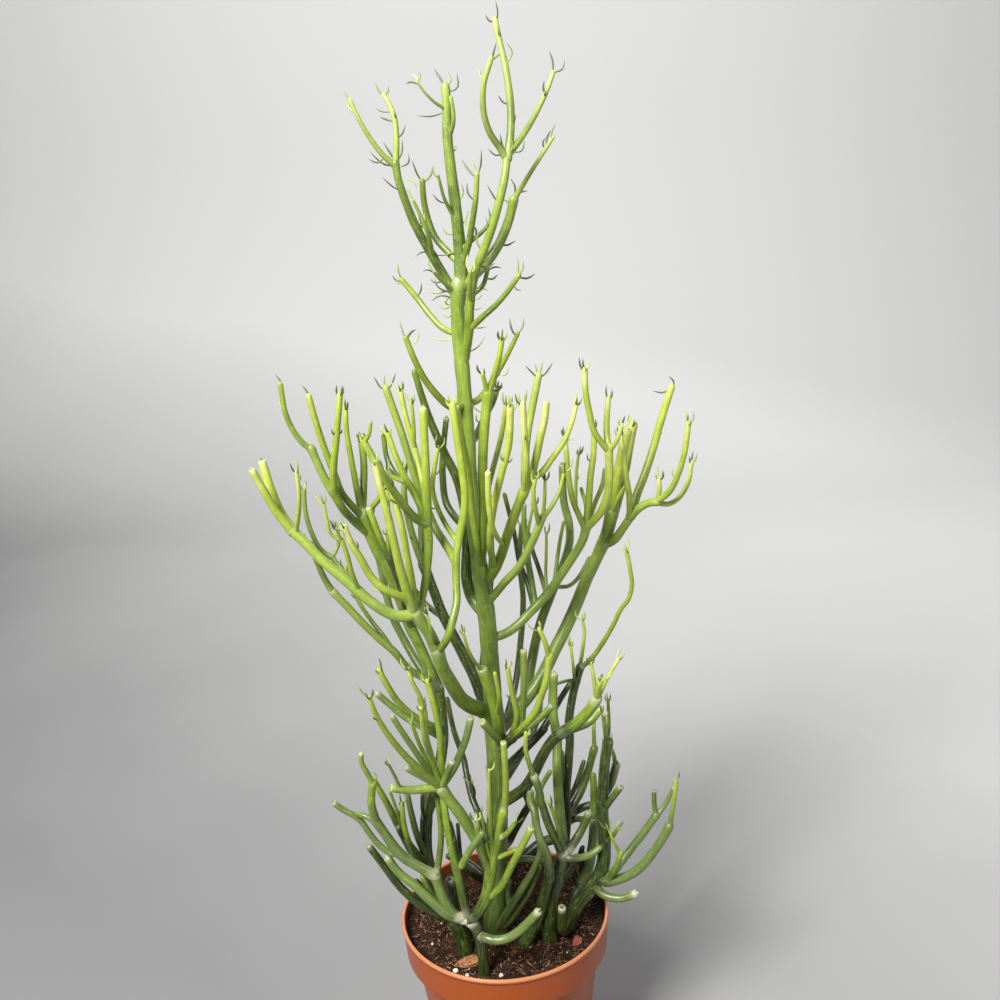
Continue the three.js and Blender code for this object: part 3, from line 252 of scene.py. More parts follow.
FRONT = """
front - 5.2 4.6 joint -21,-66,-65 -21,-45,-64 -22,-30,-63 -25,-17,-62 -31,-8,-61
frontCut front 4 3.5 cut -22,-26 -18,-28,-70 -10,-31,-72 0,-30,-73 10,-24,-74 20,-14,-75 28,-5,-76
frontLeft front 4.7 4.4 joint -30,-9 -41,-5,-60 -48,7,-59 -52,22,-58 -55,37,-57
frontUp frontLeft 2.8 1.5 tuft -54,34 -50,52,-55 -47,72,-52 -47,95,-48 -49,118,-42 -53,140,-38
  -58,156,-37 -62,173,-37
frontSide frontLeft 4.3 3.6 joint -54,34 -67,44,-59 -78,53,-60 -86,65,-61 -93,79,-61 -99,91,-61
frontSideA frontSide 3.4 3.1 joint -98,89 -100,104,-63 -99,114,-63 -97,124,-63
frontSideAA frontSideA 2.3 2 cut -97,122 -101,133,-64 -104,141,-64 -104,150,-64
frontSideB frontSide 2.4 2.2 bare -98,88 -106,94,-58 -112,96,-55
frontSideC frontSide 2.7 2.4 cut -84,57 -92,61,-60 -99,69,-58 -105,80,-56 -110,90,-54 -116,96,-53
  -124,102,-52 -130,108,-52
frontLong front 4.3 3.4 cut -32,-8 -46,-4,-62 -62,14,-62 -73,28,-60 -80,35,-58 -86,43,-57 -92,55,-56
frontMid front 3.3 2.5 tuft -31,-8 -34,12,-67 -37,38,-67 -40,62,-64 -42,88,-57 -43,112,-46
  -42,135,-38 -41,160,-35 -43,183,-34 -47,207,-34
frontMain front 5 4.2 joint -30,-9 -21,-1,-63 -15,10,-63 -11,28,-62 -7,48,-61 -2,68,-60 4,91,-59
frontMainA frontMain 2.8 2.5 cut 4,89 7,107,-59 8,130,-59 8,152,-59
frontMainB frontMain 2.7 1.2 tuft -7,48 -8,72,-64 -7,92,-65 -6,110,-65 -5,128,-65
frontMainC frontMain 2 1.5 tuft -8,42 -12,60,-66 -13,74,-68 -14,89,-69
frontMainD frontMain 3 2.4 tuft -9,34 -15,50,-68 -17,66,-71 -18,83,-72
frontMainE frontMain 2.6 1.7 tuft -1,66 6,70,-66 13,79,-69
frontMainF frontMain 3.2 2.9 cut -14,10 -3,19,-66 3,29,-67 8,40,-68 14,51,-69 20,62,-70 26,74,-70
hub frontMain 4.5 4.7 joint -9,36 -15,55,-54 -23,75,-52 -30,90,-52 -38,104,-51 -45,117,-50
hubArm hub 3.6 3.2 cut -44,116 -58,115,-53 -70,115,-56 -84,118,-60
hubArmA hubArm 1.6 1.1 tuft -76,116 -79,127,-60 -83,138,-62
hubA hub 2.8 2.6 cut -44,116 -58,126,-50 -70,135,-50
hubB hub 3.3 2 tuft -44,116 -58,131,-58 -70,146,-62 -81,164,-65 -89,182,-67 -93,197,-68
hubC hub 2.7 2.3 cut -44,116 -56,138,-50 -65,156,-48 -72,170,-47 -77,181,-46
hubD hub 2.6 1.6 tuft -44,117 -49,143,-55 -52,164,-58 -51,180,-59 -54,196,-60 -59,209,-61
  -61,219,-61
hubE hub 3 2.6 cut -44,116 -38,127,-54 -33,138,-56
hubF hub 3.2 2.8 cut -44,116 -34,129,-46 -26,145,-44 -20,160,-43 -16,175,-42
hubG hubD 2.3 2 tuft -48,139 -53,158,-64 -54,185,-67
frontN frontLeft 2.4 2.1 bare -52,1 -58,11,-52 -64,21,-52 -70,31,-52
frontP frontLeft 2.7 2.3 bare -53,6 -57,14,-55 -62,25,-56 -65,34,-57
frontR frontMid 3 2.5 joint -33,42 -28,51,-70 -23,59,-72 -18,66,-74 -14,72,-74
frontMainG frontMain 2.2 1.8 bare -5,47 5,51,-64 12,54,-66
"""

LEFT = """
left - 6.4 5.6 joint -35,-41,-38 -37,-28,-38 -41,-14,-38 -45,-4,-37
leftDark left 4 2.9 cut -43,-8 -56,-1,-44 -70,10,-47 -83,25,-47 -92,41,-46 -100,56,-45 -106,67,-45
leftTall left 5.6 3.8 joint -44,-7 -52,12,-31 -58,32,-27 -60,55,-23 -58,85,-18 -53,110,-12
  -45,130,-5 -40,150,2 -38,175,7 -39,204,11
leftTallA leftTall 3 2.4 bare -59,48 -66,72,-29 -69,92,-31 -71,111,-32
leftTallB leftTall 3.8 2.4 tuft -59,44 -71,60,-36 -80,82,-40 -88,105,-42 -96,125,-43
leftTallC leftTallB 2.6 2 tuft -69,56 -74,70,-47 -76,86,-49 -76,102,-50
leftTallD leftTallB 1.6 1.2 bare -77,74 -80,95,-48 -84,114,-50
leftTallE leftTall 2.2 1.9 bare -57,86 -51,100,-10 -47,112,-6
leftLowA leftTall 3 2.4 tuft -38,165 -50,172,-4 -62,181,-9 -71,192,-13 -77,204,-16 -83,219,-18
leftLowB leftTall 2.7 2.6 cut -38,158 -55,170,5 -68,180,6 -78,191,6 -87,201,5
thinLeft leftTall 2.8 2.9 joint -39,201 -50,211,11 -61,220,8 -70,234,4 -80,245,2 -90,257,0
  -101,272,-2 -113,288,-4
thinLeftA thinLeft 2.6 1.8 tuft -112,286 -117,298,-6 -121,311,-8 -124,325,-10
thinLeftB thinLeft 2.1 1.3 tuft -70,233 -77,247,8 -84,259,12 -91,272,15 -97,287,17 -100,303,18
farLeft leftTall 4.2 4.4 joint -39,200 -45,220,14 -51,239,18 -57,256,20 -62,277,20 -68,297,19
  -75,315,18 -80,331,17 -84,346,16
farBack leftTall 3.3 2.5 tuft -39,199 -48,213,20 -55,227,26 -62,244,31 -68,260,33 -72,281,33
  -74,302,31 -76,322,30 -78,344,29
farRight farLeft 3 2.6 joint -56,253 -59,275,11 -62,292,9 -68,312,7
farRightA farRight 2.6 2.3 cut -67,309 -72,324,5 -76,339,4 -79,350,4
farRightB farRight 2.4 1.8 tuft -67,309 -66,330,4 -65,348,2 -64,364,1
farA farLeft 2.8 2.2 tuft -83,342 -90,351,12 -97,362,8 -101,377,5 -106,396,3 -110,415,1 -113,434,0
farB farLeft 2.6 1.8 tuft -84,343 -86,366,22 -88,390,25 -89,410,27 -88,424,28
farC farLeft 2.9 2.5 tuft -84,343 -81,364,27 -79,383,31 -79,400,33
farD farLeft 2.3 1.8 tuft -83,342 -76,350,13 -70,357,11 -66,368,10
farE farLeft 3.1 3 joint -79,328 -90,340,12 -98,351,4 -104,365,1
farEA farE 3 2.2 tuft -103,362 -101,382,-3 -97,402,-5 -94,418,-7 -91,434,-8
farEB farE 3 2.9 joint -103,362 -108,373,2 -112,385,3 -116,398,4
farEBA farEB 2.2 1.8 tuft -115,396 -121,401,3 -127,411,2 -131,424,1 -132,444,0
leftTallG leftTallB 2.3 2.1 cut -73,58 -77,70,-42 -80,78,-43 -81,83,-43
leftTallF leftTall 1.8 1.5 bare -59,86 -60,98,-30 -59,110,-30
leftA left 4 3.8 cut -43,-9 -41,2,-42 -42,15,-43 -43,31,-44
"""

REAR = """
rear - 5.4 3.6 joint -4,15,34 -3,60,33 -1,120,30 -1,165,27 -6,190,25 -12,212,25 -18,228,27
  -25,246,29 -31,262,31 -37,284,33 -43,305,35
rearA rear 2.4 1.9 bare -31,260 -38,266,36 -45,274,40 -53,288,44
rearB rear 3 2 tuft -41,297 -46,315,32 -50,335,30 -52,355,30 -50,378,30
rearC rear 2.8 2 tuft -42,301 -42,325,42 -41,350,46 -43,376,48
rearD rear 2.9 1.9 tuft -8,196 -2,230,36 3,262,44 8,300,49 9,335,52 6,365,53
rearE rear 3 1.9 tuft -1,140 10,168,42 20,200,52 26,235,58 30,270,62 29,300,64 32,328,64
rearF rear 3 1.9 bare -3,68 -12,77,34 -16,91,38 -20,105,44 -22,119,48 -23,129,52 -24,139,54
  -30,165,56 -33,192,58
rearG rear 2.8 1.8 tuft -2,104 13,126,46 25,146,54 36,170,60 41,200,62
rearJ rearF 1.8 1.2 tuft -19,103 -18,111,40 -20,118,38
rearH rear 3.6 2.6 bare -4,19 -17,29,15 -24,35,5 -31,41,0 -35,51,0 -37,63,0 -39,78,2 -40,83,2
rearK rear 2.6 2.1 bare -4,12 -11,28,12 -14,45,8 -16,60,6
rearL rear 5 4.2 bare -3,20 6,34,18 13,42,20 22,50,24 30,57,26 38,61,28 44,62,28
rearN rear 3.6 3 bare -4,12 -14,30,22 -24,42,30 -33,49,34 -42,52,36
rearP rear 4 3.2 bare -6,16 -11,34,22 -13,48,26 -15,60,28 -17,72,30
rearI rearH 1.8 1.6 bare -33,47 -33,62,6 -33,72,6 -33,81,6
"""

RIGHT = """
right - 6.6 5.2 joint 36,-36,-31 36,-20,-31 38,0,-31 44,25,-30 51,51,-30
rightA right 3.8 3 joint 50,46 45,61,-37 40,75,-41 36,92,-44 33,110,-46 30,121,-47
rightAA rightA 2.1 1.7 tuft 30,119 27,132,-48 25,145,-49 26,158,-49
rightB right 2.3 1.6 tuft 50,47 48,68,-43 45,82,-46 42,93,-48
rightC right 4.3 3.4 cut 51,46 50,72,-19 49,100,-12 49,128,-5 50,150,2 48,175,6 49,195,8 50,208,8
rightD right 3.6 3.2 cut 51,46 61,60,-27 67,71,-23 73,85,-21
rightE right 3.9 3.1 joint 51,46 54,78,-8 55,105,-3 58,130,2 60,150,5 60,166,7 63,184,8 67,200,8
  71,213,8
rightEA rightE 2 1.6 tuft 70,210 80,219,4 90,233,0 97,245,-3 103,257,-6 109,265,-8 112,276,-10
  111,289,-12 109,302,-13
rightEB rightE 1.6 1.1 tuft 70,210 73,226,11 75,240,12 74,250,12
rightEC rightE 1.4 1.2 bare 67,201 60,201,2 52,199,-2
rightED rightE 1.4 1.1 tuft 66,200 65,216,2 64,230,1
rightF rightE 3.2 3 joint 54,82 61,93,0 67,104,4 73,121,8 79,142,10
rightFA rightF 1.8 1.2 tuft 79,140 79,156,11 80,173,12
rightG rightE 2.2 1.8 bare 55,95 61,105,4 65,115,8 70,130,12
rightK rightE 2.4 2.3 cut 54,81 53,95,-3 53,108,-2 53,121,-1 53,132,0 53,140,1
rightL rightF 1.9 1.5 bare 65,103 69,115,6 73,126,8 76,134,10
rightM rightE 3.4 3.2 bare 54,82 60,85,6 67,89,8 74,91,8
rightN rightE 2.6 2.4 bare 53,71 56,76,-2 61,79,0 69,78,0 75,77,0
rightJ right 3.7 3.5 bare 45,30 38,37,-16 30,42,-8 21,44,-4 13,44,0
rightQ right 2.6 2.2 bare 42,15 52,27,-14 60,37,-8 66,52,-4
rightP right 2.9 2.7 bare 49,45 56,43,-34 65,43,-32 74,46,-30 80,51,-28
"""

EDGE = """
edge - 6.8 4 joint 48,-32,-20 52,-19,-20 57,-6,-20 65,6,-20 74,18,-21 80,28,-22 83,40,-23 84,62,-25
  83,85,-27 85,110,-29 87,130,-31 90,147,-33
edgeA edge 2.2 1.8 tuft 89,144 88,157,-36 87,169,-40
edgeB edge 1.6 1.2 tuft 89,144 91,160,-30 91,182,-28
edgeC edge 4.2 3.9 cut 55,-8 60,10,-12 66,23,-8 71,35,-7 73,47,-7 75,61,-8 76,72,-8 77,80,-8
edgeCA edgeC 3 2.8 bare 76,78 77,98,-8 77,117,-8
edgeD edge 3.6 3.3 cut 84,98 91,110,-24 96,127,-22
edgeDA edgeD 1.8 1.3 tuft 95,124 94,134,-21 91,144,-20
edgeE edge 3 2.7 cut 83,84 90,94,-33 99,106,-36
edgeF edge 4 3.5 joint 78,24 84,19,-28 97,21,-33 110,28,-37 122,42,-41 131,56,-44 137,68,-45
edgeFA edgeF 2 1.7 tuft 137,66 140,85,-46 143,106,-46
edgeG edgeF 3.3 3.1 joint 84,19 93,31,-24 103,45,-20 114,60,-17 127,79,-15
edgeGA edgeG 2 1.9 cut 126,77 125,88,-15 125,101,-15
edgeGB edgeG 2.1 1.8 cut 126,77 133,86,-13 141,103,-11
edgeH edgeF 3 2.2 bare 85,19 93,32,-38 97,45,-41
edgeHA edgeH 1.5 1.1 tuft 97,43 92,54,-42 88,67,-42
edgeI edge 2.2 1.4 tuft 82,56 90,60,-31 95,68,-33
edgeJ edge 3.8 3.3 cut 74,18 79,9,-30 86,4,-35 96,2,-38 109,6,-41
edgeN edge 3.2 2.8 bare 68,10 66,24,-6 65,36,0 66,46,4
edgeM edge 3 2.6 bare 66,8 60,22,-6 58,34,0 60,44,4
edgeK edge 3.7 3.4 cut 50,-27 46,-26,-34 46,-15,-40 47,-3,-44
"""

CENTRE = """
centre - 6.6 4.2 joint 12,-42,-34 17,-31,-34 23,-19,-34 28,-8,-35 32,5,-37 35,18,-40 38,28,-43
  38,34,-44
centreA centre 3.6 2.9 cut 38,34 37,48,-46 33,60,-44 30,73,-40 29,88,-34 26,98,-27 27,107,-20
"""

# The tone of each stem. A stem that isn't named is plain. The DARK tone is partly the dark skin of
# old stems and partly painted shade for stems that stand in the shadow of others.
TONES = """
LIME pencilFront pencilRight pencilLow limbRightA limbRightD limbRightB pencilA pencilB innerB
  innerD spreadA spreadB spreadC spreadDA spreadDB hubB hubD hubG burstA burstAA burstC lowE lowEA
  lowEB outerC outerBA outerBC rightAA edgeFA frontSideA frontMainB baseAB baseAC baseAA
  frontMainC leftTallC leftLowA limbMidB rightEB rightED farRightB frontMainA edgeHA lowEC burstFA
  burstFB leftTallD pencilC bigA bigB
CROWN leader leaderB crownRight crownLeft crownBack innerLeft innerRight
TRUNK trunk trunkTop
FRESH innerA innerC innerF crossFront farEA farB farA frontMain frontSideAA baseA lowA lowC lowD
  limbMidA outerA outerBB crownRightA crownRightB crownRightC crownBackA crownLeftA crownLeftB
  midRightB rightB rightFA leftTallB edgeA edgeB thinLeftB midThin burstF edgeH edgeI spreadD
  midRightA bigC leftThin farRightA rightEA frontUp frontMid innerE risingD frontMainF sweepLeft
  limbRight
SILVER hubC hubA hubF spreadE spreadEA farEB risingB risingBA frontLong frontSide frontLeft
  leftLowB edgeG edgeGB edgeF rearB rearC forkDark leftTallA edgeC edgeD farBack lean rightK
  rightP centreA frontR frontSideC frontCut edgeJ
FROST limbLow limbMid spread limbBig bigOuter outerB leftUpper hubArm baseB cross limbRightC
  thinLeft rightC hub lowB burstE burstD
DARK rearL rearN rearP edgeN edgeM centre leftDark left leftTall rear rearD rearE rearF rearG
  forkLeft forkBack risingA risingC limbBack limbBackA rightE rightEC midDark right edge farRight
  innerG limbBase front burst innerShoot innerRightLow rearA leftTallE frontN rearH rearI rearJ
  leanC rightL rightM leftTallF leftA twig rearK rightJ rightQ
"""

# Pale corky places: stem, which end of it, how far they reach along it, and how strong they are.
PALE = """
front tip 6 .9
frontCut foot 3 .6
frontCut tip 3 .6
frontLong foot 5 .55
frontLeft foot 4 .8
frontUp foot 3 .4
frontSide foot 4 .5
frontMainA foot 3 .6
frontMid foot 10 .5
right tip 4 .55
rightA foot 3 .5
rightD foot 6 .7
edgeJ tip 4 .8
edgeK tip 2.5 .45
hub tip 3 .45
hubE tip 3 .6
limbLeft tip 4 .35
leftUpper tip 3 .3
farLeft tip 3 .3
leftTall tip 3 .4
bigOuter foot 4 .4
thinLeft tip 3 .5
rightEA foot 3 .4
edgeC tip 3 .5
rightA tip 4 .5
trunkTop tip 6 .3
frontMainE foot 4 .7
frontMainD tip 4 .4
baseA tip 5 .5
crossFront foot 3 .35
"""

# Young leaves in the crown that can be told apart: their stem, and for each leaf its shade and
# three points from foot to tip.
CROWN_LEAVES = """
leaderA pale -18,636 -20,641 -23,643 green -19,637 -17,641 -18,645 dark -18,636 -23,638 -27,637
leader dark -3,618 -12,616 -22,617 dark -1,633 -4,639 -8,646 green 0,634 3,638 1,643
  dark 1,630 7,633 7,642
crownRightA dark 30,648 32,653 34,659 green 30,648 33,650 37,652 green 24,636 22,640 22,645
crownRightB dark 34,671 30,672 28,676 dark 35,671 36,676 35,684 green 39,644 44,652 40,659
  dark 40,620 36,622 33,627 dark 41,607 43,610 44,614
crownRightC dark 70,638 70,645 68,652 dark 70,638 76,640 78,646 dark 64,625 63,629 64,634
crownRight dark 36,590 29,589 24,594 dark 40,590 47,591 49,598 dark 37,589 34,595 33,603
  dark 31,556 26,563 22,571 green 23,540 21,544 20,551
crownRightC green 38,588 41,594 40,601
crownBack green 41,561 44,564 50,565 green 38,556 33,560 30,559 dark 40,561 41,568 38,574
crownBackA green 66,596 68,603 71,607 dark 63,592 64,598 67,603
crownLeft dark -36,570 -41,573 -48,580 dark -37,586 -46,588 -55,597 dark -38,589 -41,595 -45,602
  dark -34,590 -33,595 -32,603 dark -33,585 -29,588 -29,594 green -31,578 -27,576 -25,570
crownLeftB green -38,620 -44,621 -48,623 dark -37,614 -42,616 -46,618 green -41,630 -45,634 -47,640
  green -41,630 -39,633 -38,637
crownLeftA green -63,627 -66,631 -67,636 green -61,621 -65,624 -65,630
crownLeft green -23,541 -24,548 -26,556
innerLeft dark -21,575 -24,580 -27,590 green -20,574 -15,579 -13,586 green -19,560 -22,566 -22,571
innerLeftLow green -28,563 -30,567 -32,573
innerRight dark 15,575 11,580 6,588 dark 17,577 19,584 20,594 green 16,577 15,581 14,587
  dark 13,560 9,566 9,573
innerRightLow dark 20,543 23,549 22,556 green 12,536 13,541 11,545
innerShoot green -10,576 -13,580 -12,586 dark -6,560 -11,562 -15,567
leader green 3,560 6,566 5,573 green 2,545 6,548 9,556 green -2,540 -7,540 -10,545
  green -4,528 -11,526 -18,527
trunkTop green -8,500 -12,494 -6,491 dark -8,497 -15,499 -22,495 green -7,493 -13,490 -17,493
  dark -9,500 -16,505 -18,512 green -5,489 -10,484 -15,486 dark -6,505 -12,509 -15,516
  green 5,497 11,495 15,499 dark 6,500 12,503 19,500 green 5,492 9,488 14,489
  green 6,505 12,510 12,517 pale 2,498 3,490 5,484 green -2,500 -4,492 -2,485
crownLeft dark -19,528 -25,529 -30,526 green -27,545 -22,549 -21,556
crownLeftB dark -37,603 -32,606 -29,612
crownLeftA dark -45,592 -50,589 -56,592
crownRight dark 12,519 18,516 25,519 green 16,527 13,533 14,540
crownBack dark 27,532 33,530 40,533
midRightC green 22,441 27,441 30,446
midRight green 10,414 5,417 1,423 dark 15,433 20,430 25,433
trunkTop green -6,498 -4,492 0,497 green -9,503 -17,501 -25,502 green 4,505 11,501 15,506
  pale -7,470 -15,468 -25,471 pale 4,458 9,462 15,470 pale 5,478 10,475 17,476
whorlLeft dark -17,514 -22,517 -26,516 green -18,515 -21,521 -20,525 dark -12,509 -18,508 -21,511
whorlRight dark 19,514 24,516 29,515 green 19,514 21,519 20,524 green 17,509 22,508 26,511
whorlFront pale 7,513 5,519 6,526 pale 7,512 10,516 10,522
armLeft dark -40,510 -44,511 -47,515 green -40,511 -42,516 -42,523 green -39,510 -43,509 -44,512
  dark -31,499 -28,503 -27,509
armRight green 40,509 40,515 40,522 green 39,509 43,513 44,519 dark 40,508 46,507 52,510
  dark 36,504 38,500 42,499
lowArmLeft green -41,470 -43,476 -44,484 pale -38,465 -33,470 -31,477 dark -41,470 -37,475 -33,477
cross dark -58,435 -62,438 -66,446 dark -58,435 -54,439 -50,448 green -58,436 -59,441 -58,447
limbRightC dark 50,437 46,441 41,447 dark 50,437 55,440 61,448 green 50,438 52,443 54,450
  green 50,438 49,443 48,448
outerA dark 144,424 138,421 130,423 dark 144,424 146,428 142,433
farA dark -113,434 -114,438 -117,443
farEBA dark -132,443 -132,447 -135,452
midRightC dark 36,467 33,473 32,481 green 37,469 41,474 42,481
"""


# The pot's profile, up the outside and down the inside, and the soil's, down its side. Each row is
# one ring: a radius and what is added to it, and a height and what is added to that.
POT_PROFILE = """
foot -7 base 1.2
foot -4.4 base 1
foot -3.4 base .2
foot -2 base 0
foot -.7 base .6
foot 0 base 2
foot .5 base 6
foot 3.7 base 34
foot 7.2 base 64
foot 10.8 base 95
top -.5 lip -4
top .1 lip -1.8
top 1.6 lip -.5
band -1.6 lip -.2
band -.5 lip .2
band 0 lip 1.1
band .1 lip 3
band .8 lip 13
rim -1.35 brim -6.2
rim -1.15 brim -4.6
rim -.45 brim -3.9
rim -.05 brim -2.9
rim 0 brim -1.8
rim -.25 brim -.8
rim -.9 brim -.15
rim -1.6 brim 0
rim -2.3 brim -.3
rim -2.8 brim -1.1
rim -3 brim -2.4
rim -3.3 brim -8
band -2.1 lip 4
band -2.6 lip 2.2
band -4 lip 1.5
top -1.2 lip .9
top -2 lip -1.6
top -2.3 lip -5
foot 9 base 95
foot 5.5 base 64
foot 2 base 34
foot -1.1 base 7
foot -1.7 base 3.6
foot -2.8 base 2.9
foot -6 base 3
"""

SOIL_PROFILE = """
rim -3.7 brim -16
band -2.9 lip 3.4
band -4.6 lip 2.2
top -2.3 lip 1.2
top -2.7 lip -5
foot 1.4 base 32
foot -2.2 base 7
foot -3.6 base 3.6
"""


class Ending(Enum):
    """How a stem ends."""

    TUFT = "tuft"
    BARE = "bare"
    CUT = "cut"
    JOINT = "joint"


class Shade(Enum):
    """The shades of the young leaves, from dark slate green at 0 to lime at 1."""

    DARK = 0.08
    GREEN = 0.55
    PALE = 0.9


class Tone(Enum):
    """The tones of the stems: the shift of the youth at foot and tip, and the silvery bloom."""

    LIME = (0.17, 0.41, 0.0)
    CROWN = (-0.12, 0.14, 0.0)
    TRUNK = (0.02, 0.1, 0.4)
    FRESH = (0.06, 0.29, 0.0)
    SILVER = (0.0, 0.0, 0.75)
    FROST = (0.08, 0.22, 0.6)
    # Partly painted shade: dark old skin, and darker still for stems in the shadow of others.
    DARK = (-0.27, -0.19, 0.02)
    PLAIN = (0.0, 0.06, 0.1)


def rows_of(table: str) -> list[list[str]]:
    """The rows of a table, each split into its words."""
    return [row.split() for row in table.strip().replace("\n  ", " ").splitlines()]


def numbers_in(words: list[str]) -> list[list[float]]:
    """The numbers written in each word, which commas part."""
    return [[float(part) for part in word.split(",")] for word in words]


def smoothstep(value: float, low: float, high: float) -> float:
    """Ease a value from 0 at low to 1 at high.

    Args:
        value: The value to place between the two.
        low: Where the result leaves 0.
        high: Where the result reaches 1.

    Returns:
        The eased share from 0 to 1.
    """
    share = min(max((value - low) / (high - low), 0.0), 1.0)
    return share * share * (3.0 - 2.0 * share)


def reach_of(height: float, depth: float) -> float:
    """How far along the line of sight a written point lies, with the plane at 1.

    Args:
        height: The point's height on the plane, in millimetres over the rim.
        depth: The point's written depth.

    Returns:
        The share of the way from the eye to the plane.
    """
    spread = 1.0 + DEPTH_SPREAD * smoothstep(height, 40.0, 240.0)
    return (depth * spread - EYE[1]) / -EYE[1]


def in_space(across: float, height: float, depth: float) -> np.ndarray:
    """Find the point in the pot's frame that is seen at a place on the plane.

    Args:
        across: The place on the plane, to the right of the pot's axis.
        height: Its height over the rim.
        depth: The written depth behind the plane.

    Returns:
        The point, in millimetres.
    """
    on_plane = np.array([across, 0.0, height])
    seen = EYE + (on_plane - EYE) * reach_of(height, depth)
    return seen + np.array([0.0, 0.0, POT_HEIGHT])


def points_at(places: object, along: np.ndarray, line: np.ndarray) -> np.ndarray:
    """Find the points of a line at distances along it.

    Args:
        places: One distance or several.
        along: The distance of each point of the line.
        line: The line's points.

    Returns:
        The point or the points.
    """
    return np.stack([np.interp(places, along, line[:, k]) for k in range(3)], axis=-1)


def smooth_path(points: list[np.ndarray], step: float = 1.0) -> tuple[np.ndarray, np.ndarray]:
    """Lay a centripetal Catmull-Rom curve through points.

    Args:
        points: The points that it passes through, in millimetres.
        step: The spacing of the samples along it.

    Returns:
        The distances along the curve and the sampled points at them.
    """
    first, last = 2 * points[0] - points[1], 2 * points[-1] - points[-2]
    chain = [first, *points, last]
    fine: list[np.ndarray] = []
    for before, start, end, after in zip(chain, chain[1:], chain[2:], chain[3:]):
        d0, d1, d2 = (math.sqrt(float(np.linalg.norm(b - a))) or 1.0
                      for a, b in ((before, start), (start, end), (end, after)))
        leave = ((start - before) / d0 - (end - before) / (d0 + d1) + (end - start) / d1) * d1
        arrive = ((end - start) / d1 - (after - start) / (d1 + d2) + (after - end) / d2) * d1
        for t in np.linspace(0.0, 1.0, 12, endpoint=False):
            cubic = 2 * start - 2 * end + leave + arrive
            square = -3 * start + 3 * end - 2 * leave - arrive
            fine.append(start + leave * t + square * t * t + cubic * t * t * t)
    fine.append(points[-1])
    line = np.array(fine)
    along = np.concatenate([[0.0], np.cumsum(np.linalg.norm(np.diff(line, axis=0), axis=1))])
    count = max(3, int(along[-1] / step) + 1)
    even = np.linspace(0.0, along[-1], count)
    return even, points_at(even, along, line)


def deselect_all() -> None:
    """Leave nothing selected, in object mode."""
    if bpy.context.object and bpy.context.object.mode != "OBJECT":
        bpy.ops.object.mode_set(mode="OBJECT")
    bpy.ops.object.select_all(action="DESELECT")


def choose(*pieces: bpy.types.Object) -> None:
    """Select only these pieces, with the first one active.

    Args:
        *pieces: The pieces.
    """
    deselect_all()
    for piece in pieces:
        piece.select_set(True)
    bpy.context.view_layer.objects.active = pieces[0]


def paint(piece: bpy.types.Object, finish: bpy.types.Material) -> None:
    """Give a piece one material and no other."""
    piece.data.materials.clear()
    piece.data.materials.append(finish)


@dataclass
class Strand:
    """A round strand: its centre line and its radius at each point, in millimetres."""

    line: np.ndarray
    radii: np.ndarray
    values: dict[str, np.ndarray]


def strands_to_mesh(name: str, strands: list[Strand], roundness: int) -> bpy.types.Object:
    """Model round strands as bevelled curves and turn them into one mesh.

    Each value of a strand becomes a point attribute of the mesh, and a UV map named Skin holds the
    way round the strand in u and the length along it, in centimetres, in v.

    Args:
        name: The name of the new object.
        strands: The strands, each with the same named values.
        roundness: The bevel resolution of the curve.

    Returns:
        The mesh object, with its place in its mesh.
    """
    deselect_all()
    bpy.ops.curve.primitive_nurbs_path_add(location=(0.0, 0.0, 0.0))
    piece = bpy.context.object
    piece.name = name
    curve = piece.data
    curve.splines.clear()
    curve.dimensions = "3D"
    curve.bevel_depth = MM
    curve.bevel_resolution = roundness
    curve.twist_mode = "MINIMUM"
    for strand in strands:
        spline = curve.splines.new("POLY")
        count = len(strand.line)
        spline.points.add(count - 1)
        places = np.concatenate([strand.line * MM, np.ones((count, 1))], axis=1)
        spline.points.foreach_set("co", places.ravel())
        spline.points.foreach_set("radius", strand.radii)
        spline.use_smooth = True
    bpy.ops.object.convert(target="MESH")
    piece = bpy.context.object
    mesh = piece.data
    mesh.name = name
    rings = sum(len(strand.line) for strand in strands)
    sides = len(mesh.vertices) // rings
    for key in strands[0].values:
        spread = np.repeat(np.concatenate([s.values[key] for s in strands]), sides)
        mesh.attributes.new(key, "FLOAT", "POINT").data.foreach_set("value", spread)
    write_skin_map(mesh, strands, sides)
    close_ends(piece)
    return piece


def close_ends(piece: bpy.types.Object) -> None:
    """Close each strand at its two ends, where its last rings are drawn in to a point.

    Args:
        piece: The mesh object of the strands.
    """
    choose(piece)
    bpy.ops.object.mode_set(mode="EDIT")
    bpy.ops.mesh.select_all(action="SELECT")
    bpy.ops.mesh.remove_doubles(threshold=0.001 * MM)
    bpy.ops.mesh.normals_make_consistent(inside=False)
    bpy.ops.object.mode_set(mode="OBJECT")


